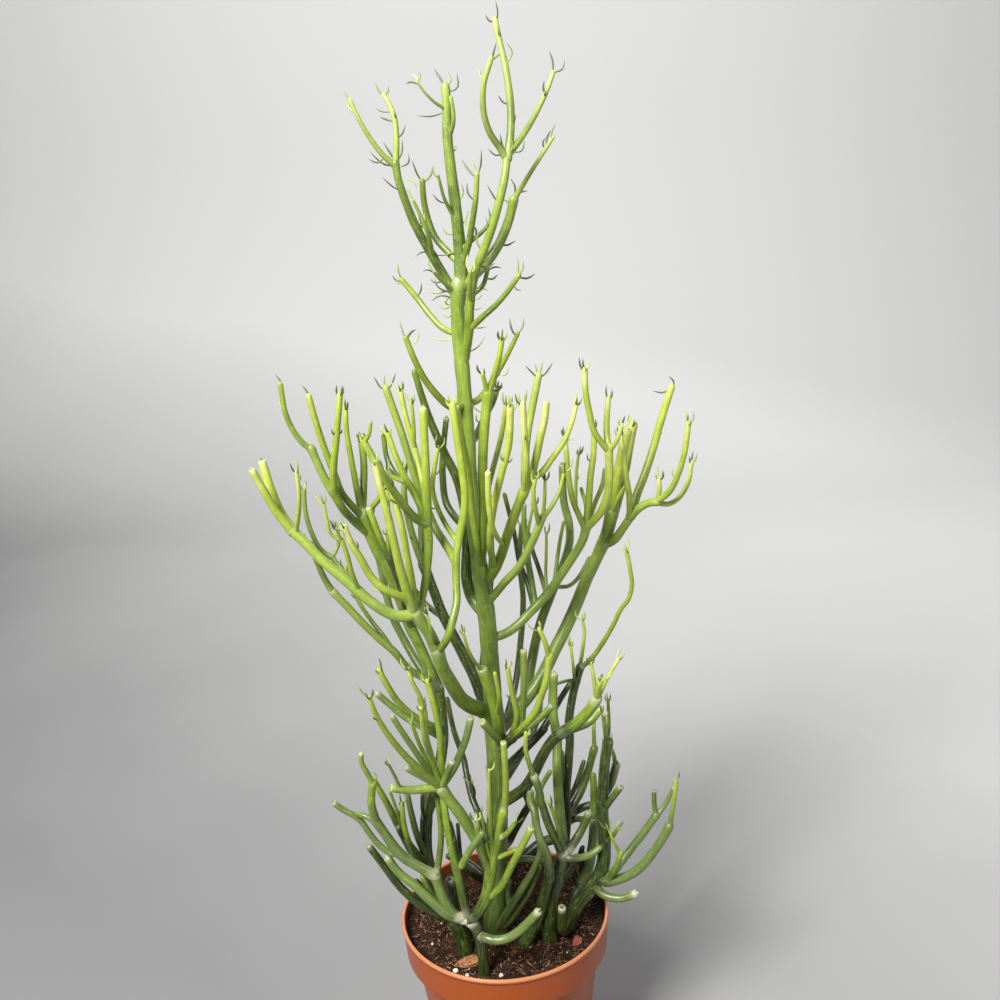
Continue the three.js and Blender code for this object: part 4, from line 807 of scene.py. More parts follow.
def write_skin_map(mesh: bpy.types.Mesh, strands: list[Strand], sides: int) -> None:
    """Write the UV map Skin: the way round in u and the length along in centimetres in v.

    Args:
        mesh: The converted mesh, whose vertices run ring by ring.
        strands: The strands that it was made of, in order.
        sides: The number of vertices in each ring.
    """
    lengths = []
    for strand in strands:
        steps = np.linalg.norm(np.diff(strand.line, axis=0), axis=1)
        lengths.append(np.concatenate([[0.0], np.cumsum(steps)]) * 0.1)
    along = np.repeat(np.concatenate(lengths), sides)
    corner = np.zeros(len(mesh.loops), dtype=np.int64)
    mesh.loops.foreach_get("vertex_index", corner)
    starts = np.zeros(len(mesh.polygons), dtype=np.int64)
    totals = np.zeros(len(mesh.polygons), dtype=np.int64)
    mesh.polygons.foreach_get("loop_start", starts)
    mesh.polygons.foreach_get("loop_total", totals)
    place = corner % sides
    face = np.repeat(np.arange(len(mesh.polygons)), totals)
    low = np.minimum.reduceat(place, starts)
    high = np.maximum.reduceat(place, starts)
    seam = (low == 0) & (high == sides - 1) & (totals == 4)
    around = np.where(seam[face] & (place == 0), sides, place) / sides
    uv = np.stack([around, along[corner]], axis=1).astype(np.float32)
    for old in list(mesh.uv_layers):
        mesh.uv_layers.remove(old)
    mesh.uv_layers.new(name="Skin").data.foreach_set("uv", uv.ravel())


@dataclass
class Stem:
    """One stem of a cutting, with its curve in millimetres."""

    name: str
    parent: str
    foot_radius: float
    tip_radius: float
    ending: Ending
    written: list[list[float]]
    joints: list[Pair] = field(default_factory=list)
    along: np.ndarray = field(default_factory=lambda: np.zeros(0))
    line: np.ndarray = field(default_factory=lambda: np.zeros((0, 3)))
    collar: float = 0.0
    from_side: bool = True

    REACH: ClassVar[dict[Ending, float]] = {
        Ending.TUFT: 1.3, Ending.BARE: 1.0, Ending.JOINT: 0.75, Ending.CUT: 0.1,
    }
    FOOT_NARROWING: ClassVar[float] = 0.16
    FOOT_SWELL: ClassVar[float] = 0.08
    JOINT_SWELL: ClassVar[float] = 0.09
    END_SWELL: ClassVar[float] = 0.13
    UNEVENNESS: ClassVar[float] = 0.04

    @property
    def length(self) -> float:
        """The length of the written curve."""
        return float(self.along[-1])

    def depth_at(self, across: float, height: float) -> float:
        """Find the written depth of the stem where it passes nearest to a place on the plane.

        Args:
            across: The place, to the right of the pot's axis.
            height: Its height over the rim.

        Returns:
            The written depth there.
        """
        best, depth = math.inf, 0.0
        for (a0, h0, d0), (a1, h1, d1) in zip(self.written, self.written[1:]):
            span = (a1 - a0) ** 2 + (h1 - h0) ** 2
            share = ((across - a0) * (a1 - a0) + (height - h0) * (h1 - h0)) / span
            share = min(max(share, 0.0), 1.0)
            apart = math.hypot(a0 + share * (a1 - a0) - across, h0 + share * (h1 - h0) - height)
            if apart < best:
                best, depth = apart, d0 + share * (d1 - d0)
        return depth

    def nearest(self, place: np.ndarray) -> tuple[float, np.ndarray]:
        """The distance along the stem, and the point on it, nearest to a place."""
        index = int(np.argmin(np.linalg.norm(self.line - place, axis=1)))
        return float(self.along[index]), self.line[index]

    def radius_at(self, distance: float) -> float:
        """The plain radius at a distance along the stem."""
        share = min(max(distance / self.length, 0.0), 1.0)
        return self.foot_radius + (self.tip_radius - self.foot_radius) * share

    def direction_at(self, distance: float) -> np.ndarray:
        """Find the direction of growth at a distance along the stem.

        Args:
            distance: The distance from the foot.

        Returns:
            The unit direction.
        """
        index = int(np.clip(np.searchsorted(self.along, distance), 1, len(self.along) - 1))
        step = self.line[index] - self.line[index - 1]
        return step / np.linalg.norm(step)

    def swelling(self, distance: float) -> float:
        """How much fuller than plain the stem is: at its foot, its joints and its end.

        Args:
            distance: The distance from the foot.

        Returns:
            The factor on the plain radius.
        """
        radius = self.radius_at(distance)
        grown = 1.0
        if self.collar:
            if self.from_side:
                grown -= self.FOOT_NARROWING * math.exp(-((distance / (0.8 * self.collar)) ** 2))
            past = max(distance - self.collar * 0.8, 0.0)
            grown += self.FOOT_SWELL * math.exp(-((past / (1.5 * radius)) ** 2))
        for place, size in self.joints:
            fading = math.exp(-(((distance - place) / (1.5 * size)) ** 2))
            grown += self.JOINT_SWELL * (size / radius) * fading
        if self.ending is Ending.JOINT:
            grown += self.END_SWELL * math.exp(-(((self.length - distance) / (1.8 * radius)) ** 2))
        return grown

    def strand(self, colour: "SkinColour") -> Strand:
        """Shape the stem as a strand with its rounded end.

        Args:
            colour: Gives the colour values along the stem.

        Returns:
            The strand, with the values of its skin.
        """
        cut = self.ending is Ending.CUT
        total = self.length + self.tip_radius * self.REACH[self.ending]
        dome = min(self.tip_radius * (0.35 if cut else 1.5), total * 0.3)
        step = min(max(1.2 * self.tip_radius, 2.2), 4.5)
        plain = np.linspace(0.0, total - dome, max(3, int((total - dome) / step) + 1))
        turns = np.linspace(0.0, 0.47 * math.pi, 6)[1:]
        distances = np.concatenate([plain, total - dome * (1.0 - np.sin(turns))])
        rounded = np.maximum(np.cos(turns) ** 0.8, 0.62 if cut else 0.05)
        narrow = np.concatenate([np.ones(len(plain)), rounded])
        ending = self.direction_at(self.length)
        line = points_at(distances, self.along, self.line)
        line = line + np.maximum(distances - self.length, 0.0)[:, None] * ending
        seed = Vector((hash_of(self.name) * 50.0, 0.0, 0.0))
        radii = []
        for distance, place, share in zip(distances, line, narrow):
            spot = Vector(place)
            wave = noise.noise(spot * 0.07 + seed) + 0.5 * noise.noise(spot * 0.2 + seed)
            full = self.radius_at(distance) * self.swelling(distance) * share
            radii.append(full * (1 + self.UNEVENNESS * wave))
        values = colour.along(self, distances, line)
        heel = np.array([0.0, 0.15, 0.28, 0.4]) * math.pi
        sole = line[0] - 0.8 * radii[0] * np.cos(heel)[:, None] * self.direction_at(0.0)
        end = line[-1] + ending * (-0.25 * self.tip_radius if cut else 0.05)
        line = np.concatenate([sole, line, end[None, :]])
        radii = np.array([POINT, *(radii[0] * np.sin(heel[1:])), *radii, POINT])
        values = {key: np.array([v[0]] * len(heel) + [*v, v[-1]]) for key, v in values.items()}
        return Strand(line, radii, values)


def hash_of(name: str) -> float:
    """Turn a name into a steady number.

    Args:
        name: The name.

    Returns:
        The number, from 0 to 1.
    """
    total = 7
    for letter in name:
        total = (total * 31 + ord(letter)) % 99991
    return total / 99991.0


@dataclass
class SkinColour:
    """How the colour of the skin runs along each stem, from 0, old and dark, to 1, lime. Stems of
    the DARK tone are also made darker as painted shade.
    """

    base: float = 0.12
    by_height: float = 0.405
    crown_fall: float = 0.17
    low_fall: float = 0.07
    own_range: float = 0.16
    tip_glow: float = 0.11
    joint_scar: float = 0.14
    cut_scar: float = 0.4
    tones: dict[str, Tone] = field(default_factory=dict)
    pale: dict[tuple[str, str], Pair] = field(default_factory=dict)

    def __post_init__(self) -> None:
        """Read the tones and the pale places."""
        for tone, *names in rows_of(TONES):
            self.tones.update(dict.fromkeys(names, Tone[tone]))
        for stem, end, reach, strength in rows_of(PALE):
            self.pale[stem, end] = (float(reach), float(strength))

    def tone_of(self, name: str) -> Triple:
        """The shift of the youth at the foot and the tip of a stem, and its silvery bloom."""
        return self.tones.get(name, Tone.PLAIN).value

    def along(self, stem: Stem, distances: np.ndarray, line: np.ndarray) -> dict[str, np.ndarray]:
        """The skin's values at points along a stem.

        Args:
            stem: The stem.
            distances: The distances along it.
            line: The points at those distances.

        Returns:
            The values youth, bloom and scar at each point.
        """
        foot, tip, bloom = self.tone_of(stem.name)
        share = np.clip(distances / stem.length, 0.0, 1.0)
        tone = foot + (tip - foot) * share
        if stem.collar:
            _, before, waxy = self.tone_of(stem.parent)
            fading = np.exp(-((distances / (stem.collar + 9.0)) ** 2))
            tone, bloom = tone + (before - tone) * fading, bloom + (waxy - bloom) * fading
        levels = line[:, 2] - POT_HEIGHT
        height, crown, raised = (np.array([smoothstep(level, low, high) for level in levels])
                                 for low, high in ((-20.0, 560.0), (420.0, 520.0), (-10.0, 130.0)))
        own = (hash_of(stem.name + "x") - 0.5) * self.own_range
        youth = (self.base + self.by_height * height - self.crown_fall * crown
                 - self.low_fall * (1.0 - raised) + tone + own)
        from_tip = stem.length - distances
        beside_tip = np.maximum(from_tip, 0.0)
        if stem.ending in (Ending.TUFT, Ending.BARE):
            youth = youth + self.tip_glow * np.exp(-((beside_tip / 14.0) ** 2))
        scar = 0.0 * share
        if stem.collar:
            scar = self.joint_scar * np.exp(-(((distances - stem.collar * 1.15) / 1.3) ** 2))
        if stem.ending is Ending.CUT:
            scar = np.maximum(scar, self.cut_scar * np.exp(-((beside_tip / 1.4) ** 2)))
        for end, past in (("foot", distances - stem.collar), ("tip", from_tip)):
            if (stem.name, end) in self.pale:
                reach, strength = self.pale[stem.name, end]
                fading = np.exp(-((np.maximum(past, 0.0) / reach) ** 4))
                scar = np.maximum(scar, strength * fading)
        return {"youth": np.clip(youth, 0.0, 1.0), "bloom": bloom + 0.0 * share, "scar": scar}


def leaf_strand(points: list[np.ndarray | Vector], width: float, freshness: float) -> Strand:
    """Shape a slender fleshy leaf through its points.

    Args:
        points: The foot, a point midway, and the tip, in millimetres.
        width: The leaf's half width at its widest.
        freshness: Its shade from 0 to 1.

    Returns:
        The strand of the leaf.
    """
    along, line = smooth_path([np.array(point) for point in points], 0.25)
    share = along / along[-1]
    outline = np.array([0.0, 0.8, 1.0, 1.0, 0.85, 0.5, 0.0]) * width
    stations = np.linspace(0.0, 1.0, len(outline))
    keep = np.interp(stations, share, np.arange(len(share))).round().astype(int)
    fresh = np.full(len(outline), freshness) + 0.1 * (1.0 - stations)
    return Strand(line[keep], np.maximum(outline, POINT), {"youth": fresh})


@dataclass
class Cutting:
    """One rooted cutting: its stems, the leaves at its young tips, and its skin."""

    node: str
    slot: str
    table: str
    seed: int
    skin: bpy.types.Material
    leaf: bpy.types.Material
    colour: SkinColour
    stems: dict[str, Stem] = field(default_factory=dict)
    crease: float = math.radians(50)

    def read(self) -> None:
        """Read the table into stems with their curves, and note where stems join."""
        for name, parent, foot, tip, ending, *points in rows_of(self.table):
            written = numbers_in(points)
            stem = Stem(name, parent, float(foot), float(tip), Ending(ending), written)
            grown_from = self.stems.get(parent)
            if grown_from:
                written[0].append(grown_from.depth_at(*written[0]))
            stem.foot_radius *= reach_of(*written[0][1:])
            stem.tip_radius *= reach_of(*written[-1][1:])
            places = [in_space(*point) for point in written]
            if not grown_from:
                root = places[0].copy()
                root[2] = POT_HEIGHT - SOIL_DROP - ROOT_DEPTH
                places.insert(0, root)
            stem.along, stem.line = smooth_path(places)
            if grown_from:
                joint, _ = grown_from.nearest(places[0])
                stem.collar = grown_from.radius_at(joint)
                stem.from_side = joint < grown_from.length - 1.5 * stem.collar
                if stem.from_side:
                    grown_from.joints.append((joint, stem.foot_radius))
            self.stems[name] = stem

    def read_leaves(self) -> tuple[list[Strand], set[str]]:
        """Shape the leaves that are written down one by one.

        Returns:
            Their strands, and the names of the stems whose tips they furnish.
        """
        strands, furnished = [], set()
        for name, *words in rows_of(CROWN_LEAVES):
            stem = self.stems.get(name)
            if not stem:
                continue
            furnished.add(name)
            for shade, *points in zip(*[iter(words)] * 4):
                written = numbers_in(points)
                depth = stem.depth_at(*written[0])
                own = hash_of(" ".join([name, shade, *points]))
                lean = (own - 0.5) * 4.5
                places = [in_space(a, h, depth + lean * k) for k, (a, h) in enumerate(written)]
                _, heart = stem.nearest(places[0])
                places[0] = places[0] * 0.55 + heart * 0.45
                strands.append(leaf_strand(places, 0.5 + 0.3 * own, Shade[shade.upper()].value))
        return strands, furnished

    def tuft(self, stem: Stem, chance: random.Random) -> list[Strand]:
        """Shape the small leaves at a young tip, spread round it and curling up.

        Args:
            stem: The stem that ends in the tuft.
            chance: The cutting's seeded source of chance.

        Returns:
            The strands of the leaves.
        """
        axis = Vector(stem.direction_at(stem.length))
        side = axis.orthogonal().normalized()
        heart = Vector(stem.line[-1])
        count = 4 if stem.tip_radius > 1.8 else 3
        start = chance.uniform(0.0, math.tau)
        strands = []
        for index in range(count):
            turn = start + (index + 0.4 * chance.random()) * math.tau / count
            outward = Matrix.Rotation(turn, 3, axis) @ side
            length = chance.uniform(6.0, 12.0)
            foot = heart + outward * stem.tip_radius * 0.35
            foot = foot - axis * stem.tip_radius * chance.uniform(0.0, 1.2)
            spread = chance.uniform(0.25, 0.75)
            middle = foot + axis * length * 0.42 + outward * length * spread * 0.5
            end = foot + axis * length * 0.95
            end = end + outward * length * spread * chance.uniform(0.35, 0.8)
            fresh = 0.1 if chance.random() < 0.4 else chance.uniform(0.45, 0.9)
            width = chance.uniform(0.55, 0.85)
            strands.append(leaf_strand([foot, middle, end], width, fresh))
        return strands

    def strays(self, stem: Stem, chance: random.Random) -> list[Strand]:
        """Shape the single leaves that stand here and there along a young stem.

        Args:
            stem: The stem.
            chance: The cutting's seeded source of chance.

        Returns:
            The strands of the leaves.
        """
        strands = []
        for _ in range(int(stem.length * chance.uniform(0.0, 0.035))):
            place = stem.length * chance.uniform(0.35, 0.95)
            axis = Vector(stem.direction_at(place))
            turn = Matrix.Rotation(chance.uniform(0.0, math.tau), 3, axis)
            outward = turn @ axis.orthogonal().normalized()
            heart = Vector(points_at(place, stem.along, stem.line))
            foot = heart + outward * stem.radius_at(place) * 0.6
            length = chance.uniform(4.0, 9.0)
            middle = foot + outward * length * 0.4 + axis * length * 0.25
            end = foot + outward * length * 0.55 + axis * length * 0.85
            fresh = chance.choice((0.1, 0.5, 0.7))
            strands.append(leaf_strand([foot, middle, end], 0.6, fresh))
        return strands

    def build(self) -> bpy.types.Object:
        """Model and dress the cutting.

        Returns:
            The finished piece.
        """
        self.read()
        chance = random.Random(self.seed)
        stems = [stem.strand(self.colour) for stem in self.stems.values()]
        leaves, furnished = self.read_leaves()
        for stem in self.stems.values():
            if stem.ending is Ending.TUFT:
                if stem.name not in furnished:
                    leaves += self.tuft(stem, chance)
                leaves += self.strays(stem, chance)
        piece = strands_to_mesh(self.node + "_skin", stems, 5)
        paint(piece, self.skin)
        if leaves:
            foliage = strands_to_mesh(self.node + "_leaves", leaves, 1)
            paint(foliage, self.leaf)
            choose(piece, foliage)
            bpy.ops.object.join()
        choose(piece)
        bpy.ops.object.shade_smooth_by_angle(angle=self.crease)
        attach(piece, "root")
        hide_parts(self.node)
        LOG.info("%s: %d stems, %d leaves, %d faces", self.node, len(stems), len(leaves),
                 len(piece.data.polygons))
        return piece


class Shader:
    """A small hand for wiring a procedural material."""

    def __init__(self, name: str) -> None:
        """Start a material with one principled shader.

        Args:
            name: The name of the material.
        """
        self.material = bpy.data.materials.new(name)
        self.material.use_nodes = True
        self.tree = self.material.node_tree
        self.surface = self.tree.nodes["Principled BSDF"]

    def node(self, kind: str, **settings: object) -> bpy.types.Node:
        """Add a node and set its properties and its unlinked inputs.

        Args:
            kind: The node's type.
            **settings: Properties of the node, or values of inputs of the same name, in which an
                underscore stands for a space.

        Returns:
            The node.
        """
        made = self.tree.nodes.new(kind)
        for key, value in settings.items():
            if hasattr(made, key):
                setattr(made, key, value)
            else:
                made.inputs[key.replace("_", " ")].default_value = value
        return made

    def link(self, source: bpy.types.NodeSocket, target: bpy.types.NodeSocket) -> None:
        """Join an output to an input."""
        self.tree.links.new(source, target)

    def set(self, **values: object) -> None:
        """Set sockets of the principled shader."""
        for key, value in values.items():
            self.surface.inputs[key.replace("_", " ")].default_value = value

    def colour(self, source: bpy.types.NodeSocket) -> None:
        """Colour the surface."""
        self.link(source, self.surface.inputs["Base Color"])

    def attribute(self, name: str) -> bpy.types.NodeSocket:
        """A float attribute of the piece."""
        return self.node("ShaderNodeAttribute", attribute_name=name).outputs["Fac"]

    def place(self) -> bpy.types.NodeSocket:
        """The piece's own coordinates, in metres."""
        return self.node("ShaderNodeTexCoord").outputs["Object"]

    def axis(self, where: bpy.types.NodeSocket, name: str) -> bpy.types.NodeSocket:
        """Take one coordinate out of a place.

        Args:
            where: The place.
            name: X, Y or Z.

        Returns:
            The coordinate.
        """
        parts = self.node("ShaderNodeSeparateXYZ")
        self.link(where, parts.inputs[0])
        return parts.outputs[name]

    def maths(self, operation: str, first: object, second: object = 0.5,
              third: object = 0.5) -> bpy.types.NodeSocket:
        """Do a sum on sockets or numbers.

        Args:
            operation: The math operation.
            first: Its first input.
            second: Its second input.
            third: Its third input.

        Returns:
            The result.
        """
        made = self.node("ShaderNodeMath", operation=operation)
        for socket, value in zip(made.inputs, (first, second, third)):
            if isinstance(value, bpy.types.NodeSocket):
                self.link(value, socket)
            else:
                socket.default_value = value
        return made.outputs[0]

    def sway(self, pattern: bpy.types.NodeSocket, strength: float,
             value: object) -> bpy.types.NodeSocket:
        """Add to a value how far a pattern lies above a half, times a strength."""
        return self.maths("MULTIPLY_ADD", self.maths("SUBTRACT", pattern, 0.5), strength, value)

    def noise(self, where: bpy.types.NodeSocket, scale: float, detail: float = 3.0,
              roughness: float = 0.5) -> bpy.types.NodeSocket:
        """A noise pattern read at a place.

        Args:
            where: The coordinates.
            scale: The pattern's scale.
            detail: Its octaves.
            roughness: The strength of the finer octaves.

        Returns:
            The pattern's value.
        """
        made = self.node("ShaderNodeTexNoise", Scale=scale, Detail=detail, Roughness=roughness)
        self.link(where, made.inputs["Vector"])
        return made.outputs["Fac"]

    def ramp(self, value: bpy.types.NodeSocket,
             stops: list[tuple[float, Colour]]) -> bpy.types.NodeSocket:
        """Turn a value into a colour.

        Args:
            value: The value from 0 to 1.
            stops: Places and linear colours in order.

        Returns:
            The colour.
        """
        made = self.node("ShaderNodeValToRGB")
        bar = made.color_ramp
        for end in (0, -1):
            place, colour = stops[end]
            bar.elements[end].position, bar.elements[end].color = place, (*colour, 1.0)
        for place, colour in stops[1:-1]:
            bar.elements.new(place).color = (*colour, 1.0)
        self.link(value, made.inputs["Fac"])
        return made.outputs["Color"]

    def mix(self, share: object, first: object, second: object) -> bpy.types.NodeSocket:
        """Mix two colours.

        Args:
            share: How much of the second, a socket or a number.
            first: The first colour, a socket or three numbers.
            second: The second colour.

        Returns:
            The mixed colour.
        """
        made = self.node("ShaderNodeMix", data_type="RGBA")
        for name, value in (("Factor", share), ("A", first), ("B", second)):
            socket = next(s for s in made.inputs if s.name == name and s.enabled)
            if isinstance(value, bpy.types.NodeSocket):
                self.link(value, socket)
            elif isinstance(value, tuple):
                socket.default_value = (*value, 1.0)
            else:
                socket.default_value = value
        return next(s for s in made.outputs if s.enabled)

    def bump(self, height: bpy.types.NodeSocket, strength: float, distance: float) -> None:
        """Raise the surface by a pattern.

        Args:
            height: The pattern.
            strength: How strongly it shows.
            distance: Its depth in metres.
        """
        made = self.node("ShaderNodeBump", Strength=strength, Distance=distance)
        self.link(height, made.inputs["Height"])
        self.link(made.outputs["Normal"], self.surface.inputs["Normal"])


@dataclass(frozen=True)
class Finish:
    """A finish with a name, which becomes a material."""

    name: str

    def wire(self, s: Shader) -> None:
        """Wire the material, which each finish does in its own way."""

    def material(self) -> bpy.types.Material:
        """Make the material.

        Returns:
            The material.
        """
        s = Shader(self.name)
        self.wire(s)
        return s.material


@dataclass(frozen=True)
class StemSkin(Finish):
    """The waxy green skin of the stems, from dark old wood to lime new growth."""

    name: str = "stem_skin"

    def wire(self, s: Shader) -> None:
        """Wire the skin's material.

        Args:
            s: The shader of the material.
        """
        place = s.place()
        youth, bloom, scar = s.attribute("youth"), s.attribute("bloom"), s.attribute("scar")
        mottle = s.noise(place, 110.0, 5.0, 0.66)
        fine = s.noise(place, 420.0, 2.0)
        streak = self.streaks(s)
        green = s.ramp(s.sway(streak, 0.34, s.sway(mottle, 0.55, youth)), [
            (0.0, (0.011, 0.021, 0.003)),
            (0.2, (0.052, 0.087, 0.006)),
            (0.42, (0.16, 0.24, 0.016)),
            (0.62, (0.27, 0.36, 0.028)),
            (0.82, (0.4, 0.475, 0.06)),
            (1.0, (0.55, 0.59, 0.19)),
        ])
        crown = s.maths("MULTIPLY", s.maths("SUBTRACT", s.axis(place, "Z"), 0.64), 1.8)
        green = s.mix(s.maths("MULTIPLY", crown, youth), green, (0.6, 0.66, 0.36))
        waxy = s.mix(s.maths("MULTIPLY", bloom, 0.6), green, (0.21, 0.295, 0.08))
        line = s.maths("MULTIPLY", s.maths("SUBTRACT", streak, 0.45), 0.5)
        lined = s.mix(line, waxy, (0.55, 0.7, 0.14))
        dots = s.node("ShaderNodeTexVoronoi", feature="F1", Scale=260.0)
        s.link(place, dots.inputs["Vector"])
        freckle = s.maths("LESS_THAN", dots.outputs["Distance"], s.maths("MULTIPLY", fine, 0.3))
        freckled = s.mix(s.maths("MULTIPLY", freckle, 0.22), lined, (0.62, 0.68, 0.42))
        worn = s.maths("MULTIPLY", scar, s.maths("MULTIPLY_ADD", fine, 0.9, 0.5))
        corky = s.mix(mottle, (0.46, 0.44, 0.27), (0.68, 0.68, 0.5))
        s.colour(s.mix(s.maths("MINIMUM", worn, 1.0), freckled, corky))
        rough = s.maths("MULTIPLY_ADD", mottle, 0.3, 0.24)
        s.link(s.maths("MULTIPLY_ADD", scar, 0.3, rough), s.surface.inputs["Roughness"])
        s.set(IOR=1.42, Subsurface_Weight=0.05, Subsurface_Scale=0.002,
              Subsurface_Radius=(0.6, 1.0, 0.25), Specular_IOR_Level=0.5,
              Coat_Weight=0.45, Coat_Roughness=0.33)
        s.bump(s.maths("ADD", streak, s.maths("MULTIPLY", fine, 0.4)), 0.35, 0.0004)

    def streaks(self, s: Shader) -> bpy.types.NodeSocket:
        """Fine pale lines that run along each stem, with no seam round it.

        Args:
            s: The material's shader.

        Returns:
            The strength of the lines.
        """
        uv = s.node("ShaderNodeUVMap", uv_map="Skin").outputs["UV"]
        turn = s.maths("MULTIPLY", s.axis(uv, "X"), math.tau)
        ring = s.node("ShaderNodeCombineXYZ")
        s.link(s.maths("COSINE", turn), ring.inputs["X"])
        s.link(s.maths("SINE", turn), ring.inputs["Y"])
        s.link(s.maths("MULTIPLY", s.axis(uv, "Y"), 0.16), ring.inputs["Z"])
        return s.noise(ring.outputs[0], 5.5, 3.0, 0.6)


@dataclass(frozen=True)
class LeafSkin(Finish):
    """The thin skin of the small leaves, from slate green to lime."""

    name: str = "leaf_skin"

    def wire(self, s: Shader) -> None:
        """Wire the leaves' material.

        Args:
            s: The shader of the material.
        """
        mottle = s.noise(s.place(), 300.0, 2.0)
        s.colour(s.ramp(s.sway(mottle, 0.3, s.attribute("youth")), [
            (0.0, (0.055, 0.075, 0.03)),
            (0.25, (0.12, 0.165, 0.05)),
            (0.55, (0.25, 0.35, 0.07)),
            (1.0, (0.52, 0.62, 0.18)),
        ]))
        s.set(Roughness=0.5, Subsurface_Weight=0.1, Subsurface_Scale=0.0015,
              Subsurface_Radius=(0.6, 1.0, 0.3))


@dataclass(frozen=True)
class PotPlastic(Finish):
    """Thin satin terracotta-coloured plastic, dull inside and painted darker there for dirt and
    shade, with a painted highlight along the rim's top edge.
    """

    name: str = "pot_plastic"

    def wire(self, s: Shader) -> None:
        """Wire the pot's material.

        Args:
            s: The shader of the material.
        """
        place = s.place()
        cloud = s.noise(place, 14.0, 4.0, 0.6)
        grain = s.noise(place, 900.0, 2.0)
        clay = s.mix(cloud, (0.295, 0.054, 0.007), (0.365, 0.075, 0.011))
        fleck = s.maths("MULTIPLY", s.maths("GREATER_THAN", grain, 0.66), 0.12)
        flecked = s.mix(fleck, clay, (0.72, 0.38, 0.2))
        # Painted highlight: the top 2.2 mm of the rim is mixed half way to a light orange.
        rim_highlight_mask = s.maths("GREATER_THAN", s.axis(place, "Z"), (POT_HEIGHT - 2.2) * MM)
        rim_highlighted = s.mix(s.maths("MULTIPLY", rim_highlight_mask, 0.5), flecked, (0.72, 0.34, 0.17))
        # Painted shade and dirt: the inner side is mixed towards dark brown, partly for soil stains
        # and partly for the shade inside the pot.
        grime_and_shade = s.maths("MULTIPLY_ADD", s.noise(place, 60.0, 5.0, 0.7), 0.6, 0.45)
        stained_and_shaded = s.maths("MULTIPLY", s.attribute("inside"), grime_and_shade)
        s.colour(s.mix(s.maths("MINIMUM", stained_and_shaded, 1.0), rim_highlighted, (0.075, 0.028, 0.016)))
        s.link(s.maths("MULTIPLY_ADD", cloud, 0.14, 0.29), s.surface.inputs["Roughness"])
        s.set(IOR=1.47, Specular_IOR_Level=0.4, Subsurface_Weight=0.05, Subsurface_Scale=0.003)
        s.bump(s.maths("MULTIPLY_ADD", grain, 0.5, cloud), 0.12, 0.0005)


@dataclass(frozen=True)
class Peat(Finish):
    """Damp dark potting peat."""

    name: str = "peat"

    def wire(self, s: Shader) -> None:
        """Wire the soil's material.

        Args:
            s: The shader of the material.
        """
        place = s.place()
        coarse = s.noise(place, 130.0, 6.0, 0.7)
        fine = s.noise(place, 700.0, 4.0, 0.7)
        s.colour(s.ramp(s.maths("MULTIPLY_ADD", fine, 0.5, s.maths("MULTIPLY", coarse, 0.5)), [
            (0.36, (0.005, 0.0024, 0.0012)),
            (0.5, (0.024, 0.0108, 0.005)),
            (0.66, (0.11, 0.05, 0.028)),
        ]))
        s.set(Roughness=0.9, Specular_IOR_Level=0.15)
        s.bump(s.maths("ADD", coarse, fine), 0.9, 0.002)


@dataclass(frozen=True)
class Litter(Finish):
    """Loose bits on the soil, coloured by their own shade from peat black to straw."""

    name: str = "litter"

    def wire(self, s: Shader) -> None:
        """Wire the litter's material.

        Args:
            s: The shader of the material.
        """
        grain = s.noise(s.place(), 900.0, 3.0, 0.6)
        s.colour(s.ramp(s.sway(grain, 0.25, s.attribute("shade")), [
            (0.0, (0.012, 0.007, 0.005)),
            (0.3, (0.06, 0.026, 0.014)),
            (0.55, (0.17, 0.075, 0.035)),
            (0.8, (0.38, 0.23, 0.12)),
            (1.0, (0.62, 0.47, 0.3)),
        ]))
        s.set(Roughness=0.85, Specular_IOR_Level=0.3)
        s.bump(grain, 0.5, 0.0006)


@dataclass(frozen=True)
class Mineral(Finish):
    """A matt grain or chip of one main colour with darker pits."""

    light: Colour
    dark: Colour
    scale: float = 700.0

    def wire(self, s: Shader) -> None:
        """Wire the grain's material.

        Args:
            s: The shader of the material.
        """
        pits = s.noise(s.place(), self.scale, 4.0, 0.6)
        s.colour(s.ramp(pits, [(0.32, self.dark), (0.56, self.light)]))
        s.set(Roughness=0.92)
        s.bump(pits, 0.6, 0.0008)


def soil_top(x: float, y: float) -> float:
    """The height of the soil's uneven top at a place, in millimetres."""
    waves = math.sin(x * 0.13 + 1) * math.cos(y * 0.11 - 0.4) + 0.5 * math.sin((x + y) * 0.21)
    return POT_HEIGHT - SOIL_DROP + 0.6 * waves


def crumbled(x: float, y: float) -> float:
    """Find the height of the crumbly top of the soil.

    Args:
        x: The place across, in millimetres.
        y: The place away from the viewer.

    Returns:
        The height in millimetres.
    """
    coarse = noise.fractal(Vector((x * 0.11, y * 0.11, 3.0)), 0.7, 2.1, 4)
    fine = noise.noise(Vector((x * 0.75, y * 0.75, 9.0)))
    return soil_top(x, y) + 1.5 * coarse + 0.55 * fine


def dress(piece: bpy.types.Object, finish: bpy.types.Material, node: str) -> None:
    """Give a piece its material and its place on the frame, and hide the frame's node that it
    stands for.

    Args:
        piece: The finished piece.
        finish: Its material.
        node: The frame's node that it replaces, or nothing.
    """
    paint(piece, finish)
    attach(piece, "root")
    if node:
        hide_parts(node)


def rings_of(table: str) -> list[Pair]:
    """Read a profile.

    Args:
        table: The profile, with one ring in each row.

    Returns:
        The radius and the height of each ring, in millimetres.
    """
    radii = {"foot": BODY_FOOT_RADIUS, "top": BODY_TOP_RADIUS, "band": BAND_FOOT_RADIUS,
             "rim": RIM_RADIUS}
    heights = {"base": 0.0, "lip": POT_HEIGHT - BAND_HEIGHT, "brim": POT_HEIGHT}
    return [(radii[near] + float(out), heights[level] + float(up))
            for near, out, level, up in rows_of(table)]


